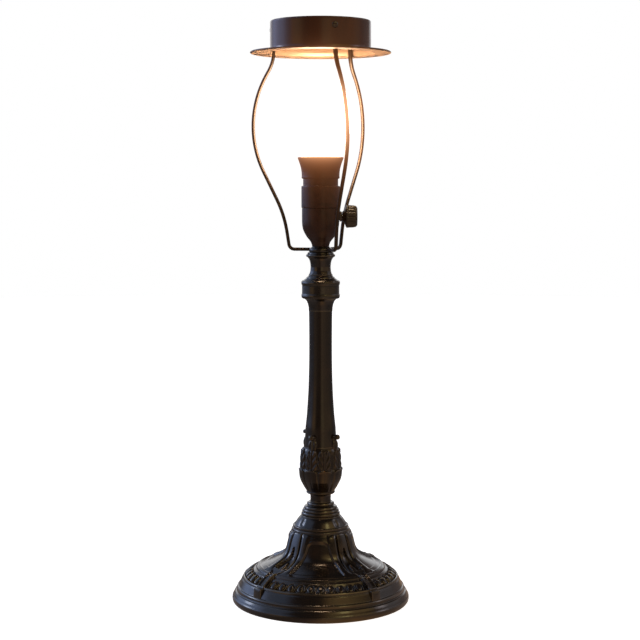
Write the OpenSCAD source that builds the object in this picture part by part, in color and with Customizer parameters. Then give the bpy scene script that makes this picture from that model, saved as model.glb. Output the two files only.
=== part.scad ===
// Table lamp without its shade: domed foot, ringed collar, leaf vase, slim column,
// capital and neck, three wire arms with a top-hat gallery, bakelite lampholder with
// a rotary switch, and a screw-in bulb.
// Millimetres. +Z up, origin at the middle of the underside of the foot.
// Azimuths are measured from the front (-Y) towards the right (+X).

/* [Foot] */
// Largest radius of the foot
foot_r = 86.5; // [80:0.5:92]
// Azimuth of the front panel of the foot
panel_az = -4; // [-10:1:10]
// Depth of the four sunk panels
panel_depth = 1.8; // [0.5:0.1:2]
// Beads in each quarter of the bead band
beads_per_quarter = 10; // [6:1:10]
// Step between two beads, in degrees
bead_step = 7.6; // [6:0.1:8.2]

/* [Stem] */
// Radius of the centre tube (M10)
tube_r = 4.95; // [4.5:0.05:4.95]
// Radius of the hole through the stem pieces
stem_bore_r = 5.3; // [5.1:0.1:5.6]
// Radius of the column at its thinnest
column_r = 11; // [10:0.1:11.5]
// Leaves around the vase
leaf_count = 6; // [4:1:8]
// Azimuth of the first tall leaf
leaf_az = 5; // [-30:1:30]

/* [Shade carrier] */
// Diameter of the arm wire
wire_d = 3.2; // [2.6:0.1:3.4]
// Outer radius of the gallery cylinder
gallery_r = 48; // [47:0.5:50]
// Outer radius of the gallery flange
flange_r = 67; // [60:0.5:72]
// Sheet thickness of the gallery
sheet_t = 0.8; // [0.6:0.1:1]

/* [Lampholder] */
// Radius of the holder body
holder_r = 18.4; // [18:0.1:19]
// Radius of the flared rim
rim_r = 22; // [21:0.1:24]
// Radius of the switch knob
knob_r = 10.8; // [9:0.1:12]
// Flutes around the switch knob
knob_flutes = 14; // [8:1:20]

/* [Bulb] */
// Largest radius of the bulb
bulb_r = 32.2; // [30:0.1:33]
// Height of the top of the bulb
bulb_top = 505; // [500:0.5:508]

/* [Hidden] */
$fn = 96;

bronze = [0.16, 0.12, 0.09];
bakelite = [0.20, 0.11, 0.07];
porcelain = [0.92, 0.91, 0.87];
brass_c = [0.78, 0.62, 0.30];
steel_c = [0.60, 0.60, 0.62];

// Heights where the stacked pieces meet
z_foot_top = 84.8;
z_collar_top = 97.6;
z_socket = 146;
z_column_top = 284;
z_capital_top = 318.6;
z_hub = 340.6;
z_hub_top = 346.2;
z_joint = 383;
z_switch = 375;
z_flange = 529.5;
z_gallery_top = 560;
z_rivet = 552;

// Arc points from angle a to angle b about (cx, cy)
function arc_pts(cx, cy, r, a, b, n) =
    [for (i = [0:n]) [cx + r * cos(a + (b - a) * i / n), cy + r * sin(a + (b - a) * i / n)]];

// ---------------------------------------------------------------- foot

// Outside of the foot from the top down, as radius and height
dome_top = [[18.2, z_foot_top], [20, 83.3], [22, 80.8], [24, 77.9], [25.4, 75.6]];
shoulder = [[26.3, 75.4], [27, 74.4], [27, 73.2], [26.6, 72.6],
            [27.6, 72.3], [28.2, 71.2], [28, 70.2]];
flank = [[28.9, 68.2], [30, 65.5], [31, 62.7], [32, 59.6], [33, 56], [34, 52.8],
         [35, 50.5], [36, 48.6], [38, 46], [40, 44.2], [44, 41.8], [48, 39.7],
         [52, 37.9], [56, 36.2], [59.6, 34.6]];
ring_d = [[60.2, 35], [61.4, 35], [62.4, 34.2], [62.8, 32.8], [65.4, 31.6]];
bead_bed = [[67, 29.2], [73.2, 24.7]];
fascia = [[74.4, 25.6], [75.3, 25.5], [75.8, 24.6], [76.1, 23.2], [77, 22.2],
          [80, 15.6]];
rim = [[80.9, 15.3], [81.6, 14.2], [81.6, 12.8], [82, 11.4], [83.4, 10.6],
       [84.6, 8.6], [85.3, 7], [foot_r - 0.3, 5.6], [foot_r, 3.6],
       [foot_r - 0.3, 1.6], [foot_r - 1.4, 0.2]];
foot_outside = concat(dome_top, shoulder, flank, ring_d, bead_bed, fascia, rim);

// Inside of the foot from the bottom up
foot_inside = [[83, 0.2], [83, 2.4], [80.8, 2.4], [80.8, 6], [79.3, 9], [77.2, 12.5],
    [75.8, 16], [73.2, 21.5], [71, 24], [60, 24], [57.5, 31], [52, 33.4], [44, 37.2],
    [38, 40.8], [34, 44.6], [31.2, 49.5], [29.3, 54], [27.3, 60], [25.3, 65.5],
    [23, 70.5], [20.5, 75], [17.5, 79], [14, 81], [stem_bore_r, 81]];

// One sunk panel: the strip between the flank and the same line further in
module panel_cut() {
    inner = [for (p = flank) if (p[1] < 66 && p[1] > 36.5) [p[0] - panel_depth * 0.8, p[1] - panel_depth * 0.8]];
    outer = [for (i = [len(flank) - 1:-1:0]) if (flank[i][1] < 66 && flank[i][1] > 36.5) [flank[i][0] + 3, flank[i][1] + 3]];
    rotate([0, 0, -90 - 30]) rotate_extrude(angle = 60) polygon(concat(inner, outer));
}

module foot_shell() {
    color(bronze) difference() {
        union() {
            rotate([0, 0, panel_az + 39.5 - 90])
                rotate_extrude() polygon(concat(foot_outside, foot_inside,
                    [[stem_bore_r, z_foot_top]]));
            // oval beads in their bed, ten to a quarter
            for (q = [0:3]) for (i = [0:beads_per_quarter - 1])
                rotate([0, 0, panel_az + 90 * q + (i - (beads_per_quarter - 1) / 2) * bead_step])
                    translate([0, -70.1, 27.2]) sphere(r = 3.6, $fn = 32);
            // square block under each rib, on the fascia
            for (q = [0:3]) rotate([0, 0, panel_az + 45 + 90 * q])
                translate([-5, -79.2, 14.8]) cube([10, 8, 9.6]);
        }
        for (q = [0:3]) rotate([0, 0, panel_az + 90 * q]) panel_cut();
        // cord hole at the back
        translate([0, 60, 13.2]) rotate([-90, 0, 0]) cylinder(r = 4.6, h = 40);
    }
}

module felt_pad() {
    color([0.10, 0.16, 0.12]) cylinder(r = 82.6, h = 1.4);
}

module bottom_card() {
    color([0.45, 0.38, 0.28]) translate([0, 0, 1.4]) cylinder(r = 82.6, h = 1);
}

module foot_weight() {
    color([0.22, 0.21, 0.20]) difference() {
        rotate_extrude() polygon([[stem_bore_r, 8.2], [67, 8.2], [69.5, 10.5],
            [69.5, 22.4], [65.2, 22.8], [64, 24], [40, 24], [36, 27], [20, 27], [18, 29],
            [stem_bore_r, 29]]);
        // channel for the flex, from the bush to the middle
        translate([-4.5, 0, 8]) cube([9, 75, 8.5]);
    }
}

module cord_bush() {
    color([0.10, 0.09, 0.08]) translate([0, 0, 13.2]) rotate([-90, 0, 0])
        rotate_extrude() polygon([[3.2, 73], [4.5, 73], [4.5, 82.6], [5.8, 82.8],
            [5.8, 83.8], [5.2, 84.6], [4, 84.8], [3.2, 84]]);
}

module centre_tube() {
    color(steel_c) difference() {
        translate([0, 0, 2.8]) cylinder(r = tube_r, h = 353.6);
        translate([0, 0, 0]) cylinder(r = 3.6, h = 380);
    }
}

module clamp_washer() {
    color(steel_c) difference() {
        translate([0, 0, 6.9]) cylinder(r = 13, h = 1.3);
        translate([0, 0, 5]) cylinder(r = 5.05, h = 5);
    }
}

module hex_nut(z, af, h) {
    difference() {
        translate([0, 0, z]) cylinder(r = af / 2 / cos(30), h = h, $fn = 6);
        translate([0, 0, z - 1]) cylinder(r = 5, h = h + 2);
    }
}

module clamp_nut() { color(brass_c) hex_nut(2.9, 15, 4); }

// ---------------------------------------------------------------- stem

module ringed_collar() {
    color(bronze) rotate_extrude() polygon(concat(
        [[stem_bore_r, z_foot_top], [17.6, z_foot_top], [18.4, 85.6], [18.4, 87.4], [17.4, 88]],
        [for (i = [8:-1:0]) [16.2 + 1.5 * cos(-90 + i * 22.5) , 89.5 - 1.5 * sin(-90 + i * 22.5)]],
        [[15, 91.1]],
        [for (i = [8:-1:0]) [14.4 + 1.4 * cos(-90 + i * 22.5), 92.6 - 1.4 * sin(-90 + i * 22.5)]],
        [[12.6, 94.2], [12, 94.6], [12.6, 95], [13.2, 95.8], [13, 96.8], [12, z_collar_top]],
        [[stem_bore_r, z_collar_top]]));
}

vase_outside = [[10.2, z_collar_top], [10, 100], [10.1, 104], [10.6, 105.4], [12.8, 105.8],
    [13.8, 106.6], [13.9, 107.8], [13.4, 109], [14.8, 111.4], [16.6, 115], [18.1, 118.6],
    [19.4, 123], [20, 127.5], [19.8, 132], [19.1, 138], [18.6, 144], [18, 149],
    [17.2, 151.6]];

// One leaf as a curved plate round the vase: from z0 to z1, curling out at its tip
module leaf(r0, r1, z0, z1, t, spread) {
    rotate([0, 0, -90 - spread / 2]) rotate_extrude(angle = spread)
        polygon([[r0, z0], [r0 + t, z0], [(r0 + r1) / 2 + t, (z0 + z1) / 2],
            [r1 + t, z1 - 2.5], [r1 + t + 1.2, z1 - 1.2], [r1 + t + 0.8, z1],
            [r1 + t - 0.4, z1 - 0.4], [r1, z1 - 1.6], [(r0 + r1) / 2 - 1, (z0 + z1) / 2],
            [r0 - 1.5, z0]]);
}

module leaf_vase() {
    color(bronze) difference() {
        union() {
            rotate_extrude() polygon(concat(vase_outside,
                [[16.3, 151.6], [16.3, z_socket], [8.3, z_socket], [8.3, 150.5],
                 [stem_bore_r, 150.5], [stem_bore_r, z_collar_top]]));
            for (i = [0:leaf_count - 1]) {
                // lower row, tips a third of the way up
                rotate([0, 0, leaf_az + 30 + i * 360 / leaf_count])
                    leaf(17.8, 19.2, 118, 130.5, 0.8, 46);
                // upper row, every second leaf taller
                rotate([0, 0, leaf_az + i * 360 / leaf_count])
                    if (i % 2 == 0) leaf(19, 16.9, 134, 155, 0.8, 40);
                    else leaf(19, 15.7, 134, 168, 0.8, 40);
            }
        }
        // hollow of the casting
        rotate_extrude() polygon([[0, 113], [stem_bore_r, 113], [12, 119], [14.8, 124],
            [15.4, 129], [14.8, 138], [13.4, 142.5], [0, 142.5]]);
        cylinder(r = stem_bore_r, h = 300);
        // room for the column inside the tall leaves
        rotate_extrude() polygon([[0, z_socket], [16.3, z_socket], [16.3, 150.6], [15.7, 158],
            [15.3, 164], [15, 170], [0, 170]]);
    }
}

module column() {
    color(bronze) difference() {
        rotate_extrude() polygon([[0, z_socket], [16.1, z_socket], [16.05, 150],
            [15.4, 158], [15, 164], [14.7, 170], [14.2, 175], [13.4, 182.6],
            [12.8, 190.6], [12.3, 198.6], [11.85, 207], [11.55, 215],
            [column_r + 0.2, 229], [column_r + 0.05, 240], [column_r, 252],
            [column_r + 0.05, 266], [column_r + 0.15, 277], [column_r + 0.25, z_column_top],
            [0, z_column_top]]);
        translate([0, 0, z_socket - 1]) cylinder(r = 8.5, h = 150);
    }
}

module capital() {
    color(bronze) difference() {
        rotate_extrude() polygon(concat(
            [[0, 278], [8.3, 278], [8.3, z_column_top], [column_r + 0.3, z_column_top],
             [11.7, 287.6], [12.3, 290.8], [13.6, 293.8], [15.4, 295.6], [16.6, 296]],
            [[17.4, 296.2], [18.3, 297.2], [18.5, 298.6], [18.4, 300], [18.1, 300.8],
             [17.95, 302.4], [17.95, 308.4], [18.1, 309.8],
             [18.3, 310.6], [18.5, 312], [18.2, 313.2], [17, 314]],
            [[15.4, 314.6], [13.8, 315.8], [12.2, 317.4], [11.4, z_capital_top], [0, z_capital_top]]));
        translate([0, 0, 277]) cylinder(r = stem_bore_r, h = 60);
    }
}

module neck_spool() {
    color(bronze) rotate_extrude() polygon([[stem_bore_r, z_capital_top], [11, z_capital_top],
        [10.4, 320.4], [9.9, 322.6], [9.65, 326.4], [9.9, 330], [10.6, 333], [11.6, 334.8],
        [13, 336.2], [13.8, 336.8], [14, 337.6], [13.7, 338.3], [12.6, 339.4],
        [12.2, z_hub], [stem_bore_r, z_hub]]);
}

// ---------------------------------------------------------------- shade carrier

// Azimuth of each arm, and its sideways lean below and above the level of the bulb
arm_left = [-99, 0, 0];
arm_front = [22.5, -1.7, -2.8];
arm_back = [140.5, 0, 0];
z_wire = 343.4;

// Arm path: straight runs [length, 0] and bends [radius, turn in degrees]
arm_path = [[16, 0], [5.5, 81], [12, 0], [110, -17], [30, 0], [98, 56], [4, 0],
            [40, -30], [11, 0]];

// End point and heading of a run or bend that starts at x, z with heading h
function step_x(s, x, h) = s[1] == 0 ? x + s[0] * cos(h)
    : x + s[0] * sign(s[1]) * (sin(h + s[1]) - sin(h));
function step_z(s, z, h) = s[1] == 0 ? z + s[0] * sin(h)
    : z + s[0] * sign(s[1]) * (cos(h) - cos(h + s[1]));

// Points along the arm, as x, z and heading: runs every 8 mm, bends every 6 degrees
function run_pts(s, x, z, h) = s[1] == 0
    ? let (n = max(1, ceil(s[0] / 10))) [for (i = [1:n]) [x + s[0] * i / n * cos(h), z + s[0] * i / n * sin(h), h]]
    : let (n = max(1, ceil(abs(s[1]) / (s[0] < 10 ? 10 : 4))))
        [for (i = [1:n]) let (p = [s[0], s[1] * i / n]) [step_x(p, x, h), step_z(p, z, h), h + p[1]]];
function arm_pts(i, x, z, h) = i >= len(arm_path) ? []
    : concat(run_pts(arm_path[i], x, z, h),
        arm_pts(i + 1, step_x(arm_path[i], x, h), step_z(arm_path[i], z, h), h + arm_path[i][1]));

// Round wire of twelve sides swept along the arm's points
module arm_wire(x0, z0, arm) {
    pts = concat([[x0, z0, 0]], arm_pts(0, x0, z0, 0));
    m = 12;
    n = len(pts);
    r = wire_d / 2;
    ring = [for (p = pts) for (j = [0:m - 1])
        [p[0] - r * cos(j * 360 / m) * sin(p[2]), r * sin(j * 360 / m) + lean_shift(arm, p[1]),
         p[1] + r * cos(j * 360 / m) * cos(p[2])]];
    sides = [for (i = [0:n - 2]) for (j = [0:m - 1])
        [i * m + j, i * m + (j + 1) % m, (i + 1) * m + (j + 1) % m, (i + 1) * m + j]];
    polyhedron(points = ring, faces = concat(sides,
        [[for (j = [m - 1:-1:0]) j]], [[for (j = [0:m - 1]) (n - 1) * m + j]]));
}

// Sideways shift of a leaning arm at height z
function lean_shift(arm, z) = (z - 445) * tan(z < 445 ? arm[1] : arm[2]);
// Azimuth where the arm meets the gallery
function arm_top_az(arm) = arm[0] + asin(lean_shift(arm, 550) / 45.2);

module shade_arm(arm) {
    color(bronze) {
        rotate([0, 0, arm[0] - 90]) arm_wire(9.5, z_wire, arm);
        // flattened end against the gallery wall
        rotate([0, 0, arm_top_az(arm)]) difference() {
            intersection() {
                difference() {
                    translate([0, 0, 541]) cylinder(r = gallery_r - sheet_t - 0.05, h = 16);
                    translate([0, 0, 540]) cylinder(r = 45.6, h = 18);
                }
                translate([-3.4, -60, 541]) cube([6.8, 30, 16]);
            }
            translate([0, -40, z_rivet]) rotate([90, 0, 0]) cylinder(r = 1.6, h = 12, $fn = 32);
        }
    }
}

module shade_arm_left() { shade_arm(arm_left); }
module shade_arm_front() { shade_arm(arm_front); }
module shade_arm_back() { shade_arm(arm_back); }

module arm_hub() {
    color(bronze) difference() {
        rotate_extrude() polygon([[5.1, z_hub], [10.6, z_hub], [11.3, z_hub + 0.6],
            [11.4, z_hub + 2.2], [10.9, z_hub + 3.6], [9.4, z_hub + 4.6], [8.6, z_hub_top - 0.3],
            [8.3, z_hub_top], [5.1, z_hub_top]]);
        for (arm = [arm_left, arm_front, arm_back])
            rotate([0, 0, arm[0] - 90])
                translate([9.4, lean_shift(arm, z_wire), z_wire]) rotate([0, 90, 0])
                    cylinder(r = wire_d / 2 + 0.05, h = 10, $fn = 32);
    }
}

module shade_gallery() {
    ro = gallery_r;
    t = sheet_t;
    color(bronze) difference() {
        rotate_extrude() polygon(concat(
            // outside, from the flange edge in and up
            [[flange_r - 0.4, z_flange], [flange_r, z_flange + 0.4], [flange_r, z_flange + 1.2],
             [flange_r - 0.4, z_flange + 1.4]],
            [[flange_r - 1.4, z_flange + t]],
            arc_pts(ro + 4, z_flange + t + 4, 4, 270, 180, 8),
            [[ro, z_gallery_top - 2.4]],
            // lip rolled inwards
            arc_pts(ro - 2.4, z_gallery_top - 2.4, 2.4, 0, 90, 6),
            [[ro - 3.4, z_gallery_top], [ro - 3.8, z_gallery_top - 0.4], [ro - 3.4, z_gallery_top - t]],
            arc_pts(ro - 2.4, z_gallery_top - 2.4, 2.4 - t, 90, 0, 6),
            arc_pts(ro + 4, z_flange + t + 4, 4 + t, 180, 270, 8)));
        for (arm = [arm_left, arm_front, arm_back]) rotate([0, 0, arm_top_az(arm)])
            translate([0, -40, z_rivet]) rotate([90, 0, 0]) cylinder(r = 1.6, h = 12, $fn = 32);
    }
}

module gallery_rivets() {
    color(bronze) for (arm = [arm_left, arm_front, arm_back])
        rotate([0, 0, arm_top_az(arm)]) translate([0, 0, z_rivet]) rotate([90, 0, 0])
            rotate_extrude($fn = 48) polygon([[0, 44.4], [2, 44.5], [2.7, 45], [2.8, 45.5],
                [1.5, 45.5], [1.5, gallery_r + 0.1], [2.9, gallery_r + 0.1],
                [2.7, gallery_r + 0.7], [1.9, gallery_r + 1.3], [0.9, gallery_r + 1.55],
                [0, gallery_r + 1.6]]);
}

// ---------------------------------------------------------------- lampholder

module holder_cap() {
    color(bakelite) difference() {
        rotate_extrude() polygon([[0, z_hub_top], [8.3, z_hub_top], [8.5, 348], [9.5, 350.6],
            [11.2, 352.9], [13.3, 355.4], [15.4, 359], [17, 362.6], [17.7, 366.4], [17.9, 370],
            [17.9, z_joint - 0.8], [17.5, z_joint - 0.2], [16.3, z_joint - 0.2],
            [16.3, 390], [0, 390]]);
        rotate_extrude() polygon([[0, 352], [9, 352], [9.4, 356], [12, 359.4], [14.2, 363.8],
            [15.3, 366], [15.3, 391], [0, 391]]);
        translate([0, 0, 340]) cylinder(r = 5.05, h = 20);
        translate([10, 0, z_switch]) rotate([0, 90, 0]) cylinder(r = 3.65, h = 12);
    }
}

module holder_nut() { color(brass_c) hex_nut(352.1, 13, 3.6); }

module holder_body() {
    color(bakelite) rotate_extrude() polygon([[16.5, z_joint], [holder_r - 0.5, z_joint],
        [holder_r, z_joint + 0.6], [holder_r, 403.4], [holder_r - 0.5, 404], [16.8, 404.2],
        [16.8, 417], [14.3, 417], [14.3, 403.4], [15.4, 402.6], [15.4, 390.4], [16.5, 390.4]]);
}

module holder_skirt() {
    color(bakelite) rotate_extrude() polygon([[16.95, 411], [17.8, 411], [18.1, 411.5],
        [18, 414], [18.2, 417.4], [18.8, 421], [19.8, 424.6], [21, 428], [rim_r - 0.1, 430.4],
        [rim_r, 431], [rim_r - 0.2, 431.5], [rim_r - 0.9, 431.5], [19.8, 429.8], [18, 428],
        [16, 426.8], [14.5, 426.2], [14.5, 417.3], [16.95, 417.3]]);
}

module switch_block() {
    color(porcelain) difference() {
        translate([0, 0, 366.2]) cylinder(r = 15.1, h = 21.8);
        // chamber for cam and springs
        translate([-7, -8.4, 365]) cube([14, 16.8, 21]);
        // bearings for the spindle
        translate([-10, 0, z_switch]) rotate([0, 90, 0]) cylinder(r = 2.05, h = 30);
        for (s = [-1, 1]) {
            translate([0, s * 10.8, 360]) cylinder(r = 1.35, h = 40, $fn = 48);
            translate([-10.2, s * 6, 360]) cylinder(r = 1.45, h = 20, $fn = 48);
        }
        // recess round the bush
        translate([13.6, 0, z_switch]) rotate([0, 90, 0]) cylinder(r = 4.2, h = 6);
    }
}

module socket_block() {
    color(porcelain) difference() {
        translate([0, 0, 388.2]) cylinder(r = 15.1, h = 5.8);
        for (s = [-1, 1]) {
            translate([0, s * 10.8, 380]) cylinder(r = 1.35, h = 40, $fn = 48);
            translate([s * 9, 0, 380]) cylinder(r = 1.8, h = 40, $fn = 48);
        }
        translate([0, 0, 387]) cylinder(r = 4, h = 4);
    }
}

module insert_screws() {
    color(steel_c) for (s = [-1, 1]) translate([0, s * 10.8, 0]) difference() {
        union() {
            translate([0, 0, 366.4]) cylinder(r = 1.25, h = 28.4, $fn = 48);
            translate([0, 0, 394.65]) cylinder(r = 2.2, h = 1.3, $fn = 48);
        }
        translate([-3, -0.3, 395.4]) cube([6, 0.6, 2]);
    }
}

module terminal_screws() {
    color(brass_c) for (s = [-1, 1]) translate([-10.2, s * 6, 0]) difference() {
        union() {
            translate([0, 0, 364.3]) cylinder(r = 2.4, h = 1.8, $fn = 48);
            translate([0, 0, 366]) cylinder(r = 1.4, h = 9, $fn = 48);
        }
        translate([-3, -0.3, 364]) cube([6, 0.6, 0.9]);
    }
}

module screw_shell() {
    color(brass_c) difference() {
        union() {
            difference() {
                translate([0, 0, 394.05]) cylinder(r = 13.8, h = 24);
                translate([0, 0, 394.6]) cylinder(r = 13.4, h = 30);
            }
            // small turned-out edge
            difference() {
                translate([0, 0, 417]) cylinder(r = 14.1, h = 1.1);
                translate([0, 0, 416]) cylinder(r = 13.4, h = 4);
            }
        }
        translate([0, 0, 392]) cylinder(r = 8, h = 5);
        for (s = [-1, 1]) translate([0, s * 10.8, 392]) cylinder(r = 1.4, h = 4, $fn = 48);
    }
}

module centre_spring() {
    color(brass_c) translate([0, 2.5, 0]) rotate([90, 0, 0]) linear_extrude(height = 5)
        polygon([[-6.5, 394.05], [3.7, 394.05], [6.1, 396.2], [2.8, 398.8], [-2.5, 398.8],
            [-2.5, 398.4], [2.6, 398.4], [5.4, 396.15], [3.5, 394.45], [-6.5, 394.45]]);
}

module switch_springs() {
    color(brass_c) for (s = [-1, 1]) translate([-3, s > 0 ? 7.1 : -7.5, 367])
        cube([6, 0.4, 18.8]);
}

module spindle_bush() {
    color(brass_c) translate([0, 0, z_switch]) rotate([0, 90, 0]) rotate_extrude($fn = 64)
        polygon([[2.05, 14], [3.6, 14], [3.6, 18.2], [4.8, 18.2], [5, 18.6], [4.8, 20],
            [4, 20.5], [2.05, 20.5]]);
}

// ---------------------------------------------------------------- switch

module switch_spindle() {
    color(steel_c) translate([-9.6, 0, z_switch]) rotate([0, 90, 0])
        cylinder(r = 2, h = 41, $fn = 64);
}

module switch_cam() {
    color([0.30, 0.16, 0.10]) translate([0, 0, z_switch]) difference() {
        intersection() {
            translate([-5, 0, 0]) rotate([0, 90, 0]) cylinder(r = 6.6, h = 10);
            translate([-5, -4.9, -4.9]) cube([10, 9.8, 9.8]);
        }
        translate([-6, 0, 0]) rotate([0, 90, 0]) cylinder(r = 2, h = 12, $fn = 64);
    }
}

module switch_knob() {
    color([0.09, 0.09, 0.07]) translate([0, 0, z_switch]) difference() {
        rotate([0, 90, 0]) rotate_extrude() polygon([[0, 21], [5.2, 21], [6.4, 22],
            [8.2, 23.8], [knob_r - 0.8, 24], [knob_r - 0.1, 24.8], [knob_r, 26],
            [knob_r - 0.2, 32], [knob_r - 1, 34.2], [knob_r - 2.6, 35.2], [7, 35.4],
            [6, 34.9], [0, 34.7]]);
        for (i = [0:knob_flutes - 1]) rotate([i * 360 / knob_flutes, 0, 0])
            translate([20, 0, knob_r + 0.7]) rotate([0, 90, 0]) cylinder(r = 1.5, h = 20, $fn = 24);
        translate([20, 0, 0]) rotate([0, 90, 0]) cylinder(r = 2, h = 11.5, $fn = 64);
        translate([27, 0, 0]) rotate([180, 0, 0]) cylinder(r = 1.25, h = 20, $fn = 32);
    }
}

module knob_grub_screw() {
    color(steel_c) translate([27, 0, z_switch]) rotate([180, 0, 0]) difference() {
        translate([0, 0, 2.1]) cylinder(r = 1.2, h = 6.5, $fn = 32);
        translate([-2, -0.25, 7.8]) cube([4, 0.5, 2]);
    }
}

// ---------------------------------------------------------------- bulb

module bulb_contact() {
    color(brass_c) rotate_extrude($fn = 64) polygon([[0, 399.1], [3, 399.2], [4, 399.6],
        [4.3, 400.4], [0, 400.4]]);
}

module bulb_insulator() {
    color([0.06, 0.05, 0.06]) rotate_extrude() polygon([[0, 400.45], [5, 400.45], [8.6, 402],
        [11.4, 403.9], [11.9, 405], [0, 405]]);
}

module bulb_cap() {
    color(brass_c) rotate_extrude() polygon([[11.6, 404.2], [12.1, 404.1], [12.8, 405.4],
        [12.95, 407], [12.95, 419], [13.1, 420.4], [13.1, 425.6], [12.7, 425.6],
        [12.6, 420.6], [12.5, 419], [12.5, 407.2], [12.3, 405.9], [12, 405.1]]);
}

// Outside of the bulb: neck, flare and round top
bulb_zc = bulb_top - bulb_r;
bulb_side = concat([[12.4, 422], [12.6, 425.8], [14.4, 427.4], [17, 430], [18.8, 432.6],
    [19.7, 435.6], [20.4, 438.5], [21.7, 442], [23.5, 445.6], [25.7, 449.8], [28.1, 455],
    [30.2, 461], [31.6, 466.6]],
    [for (a = [0:6:90]) [bulb_r * cos(a), bulb_zc + bulb_r * sin(a)]]);

module bulb_glass() {
    n = len(bulb_side);
    color([1, 0.95, 0.85, 0.6]) rotate_extrude() polygon(concat(bulb_side,
        [for (i = [n - 1:-1:0]) [max(0, bulb_side[i][0] - 0.7), bulb_side[i][1] - (i > n - 8 ? 0.7 : 0)]]));
}

module bulb_stem() {
    color([0.9, 0.92, 0.92, 0.6]) rotate_extrude($fn = 64) polygon([[0, 450], [2, 450],
        [2.4, 446.5], [2.6, 438], [4.2, 431], [8.4, 424.6], [11.4, 422], [11.4, 421],
        [10.4, 421], [7.4, 423.4], [3, 430.4], [1.4, 437], [0, 438]]);
}

module bulb_leads() {
    color(steel_c) {
        for (s = [-1, 1]) {
            translate([s * 1.1, 0, 450]) rotate([0, s * 28, 0]) cylinder(r = 0.3, h = 28, $fn = 16);
        }
        // middle supports with a small hook
        for (s = [-1, 1])
            translate([0, s * 0.9, 450]) rotate([s * -16, 0, 0]) cylinder(r = 0.2, h = 24, $fn = 16);
    }
}

module bulb_filament() {
    color([0.95, 0.85, 0.6]) {
        a = 14;
        zf = 475.2;
        translate([-a, 0, zf]) rotate([0, 90, 0]) cylinder(r = 0.35, h = 2 * a, $fn = 16);
    }
}

felt_pad();
bottom_card();
foot_shell();
foot_weight();
cord_bush();
centre_tube();
clamp_washer();
clamp_nut();
ringed_collar();
leaf_vase();
column();
capital();
neck_spool();
arm_hub();
shade_arm_left();
shade_arm_front();
shade_arm_back();
shade_gallery();
gallery_rivets();
holder_cap();
holder_nut();
holder_body();
holder_skirt();
switch_block();
socket_block();
insert_screws();
terminal_screws();
screw_shell();
centre_spring();
switch_springs();
spindle_bush();
switch_spindle();
switch_cam();
switch_knob();
knob_grub_screw();
bulb_contact();
bulb_insulator();
bulb_cap();
bulb_glass();
bulb_stem();
bulb_leads();
bulb_filament();
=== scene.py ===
import math
from math import radians, degrees, sin, cos, tan, pi, hypot, asin, atan2, sqrt

import bmesh
import bpy
import numpy as np
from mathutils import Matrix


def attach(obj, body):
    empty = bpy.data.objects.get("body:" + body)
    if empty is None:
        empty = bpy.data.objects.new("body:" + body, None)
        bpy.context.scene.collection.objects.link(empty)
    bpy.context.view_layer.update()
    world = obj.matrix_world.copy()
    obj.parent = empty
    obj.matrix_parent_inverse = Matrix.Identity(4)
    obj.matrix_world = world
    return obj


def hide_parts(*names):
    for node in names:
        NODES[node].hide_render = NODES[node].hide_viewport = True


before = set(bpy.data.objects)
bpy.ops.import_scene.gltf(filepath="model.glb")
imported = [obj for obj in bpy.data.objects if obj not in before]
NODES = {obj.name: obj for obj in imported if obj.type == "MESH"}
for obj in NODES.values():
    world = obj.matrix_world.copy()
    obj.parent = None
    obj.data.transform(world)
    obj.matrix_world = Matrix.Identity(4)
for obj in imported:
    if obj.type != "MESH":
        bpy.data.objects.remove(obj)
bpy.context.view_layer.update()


def node_object(name):
    ob = NODES[name]
    return bpy.data.objects[ob] if isinstance(ob, str) else ob


# ---------------------------------------------------------------- camera

cam_data = bpy.data.cameras.new("camera")
cam_data.sensor_width = 36.0
cam_data.lens = 36.0 * 1518.0 / 640.0
cam_data.clip_start = 0.05
camera = bpy.data.objects.new("camera", cam_data)
bpy.context.scene.collection.objects.link(camera)
camera.location = (-0.0006, -1.460, 0.408)
camera.rotation_euler = (radians(90.0 - 5.2), 0.0, 0.0)
bpy.context.scene.camera = camera


# ---------------------------------------------------------------- materials

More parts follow.
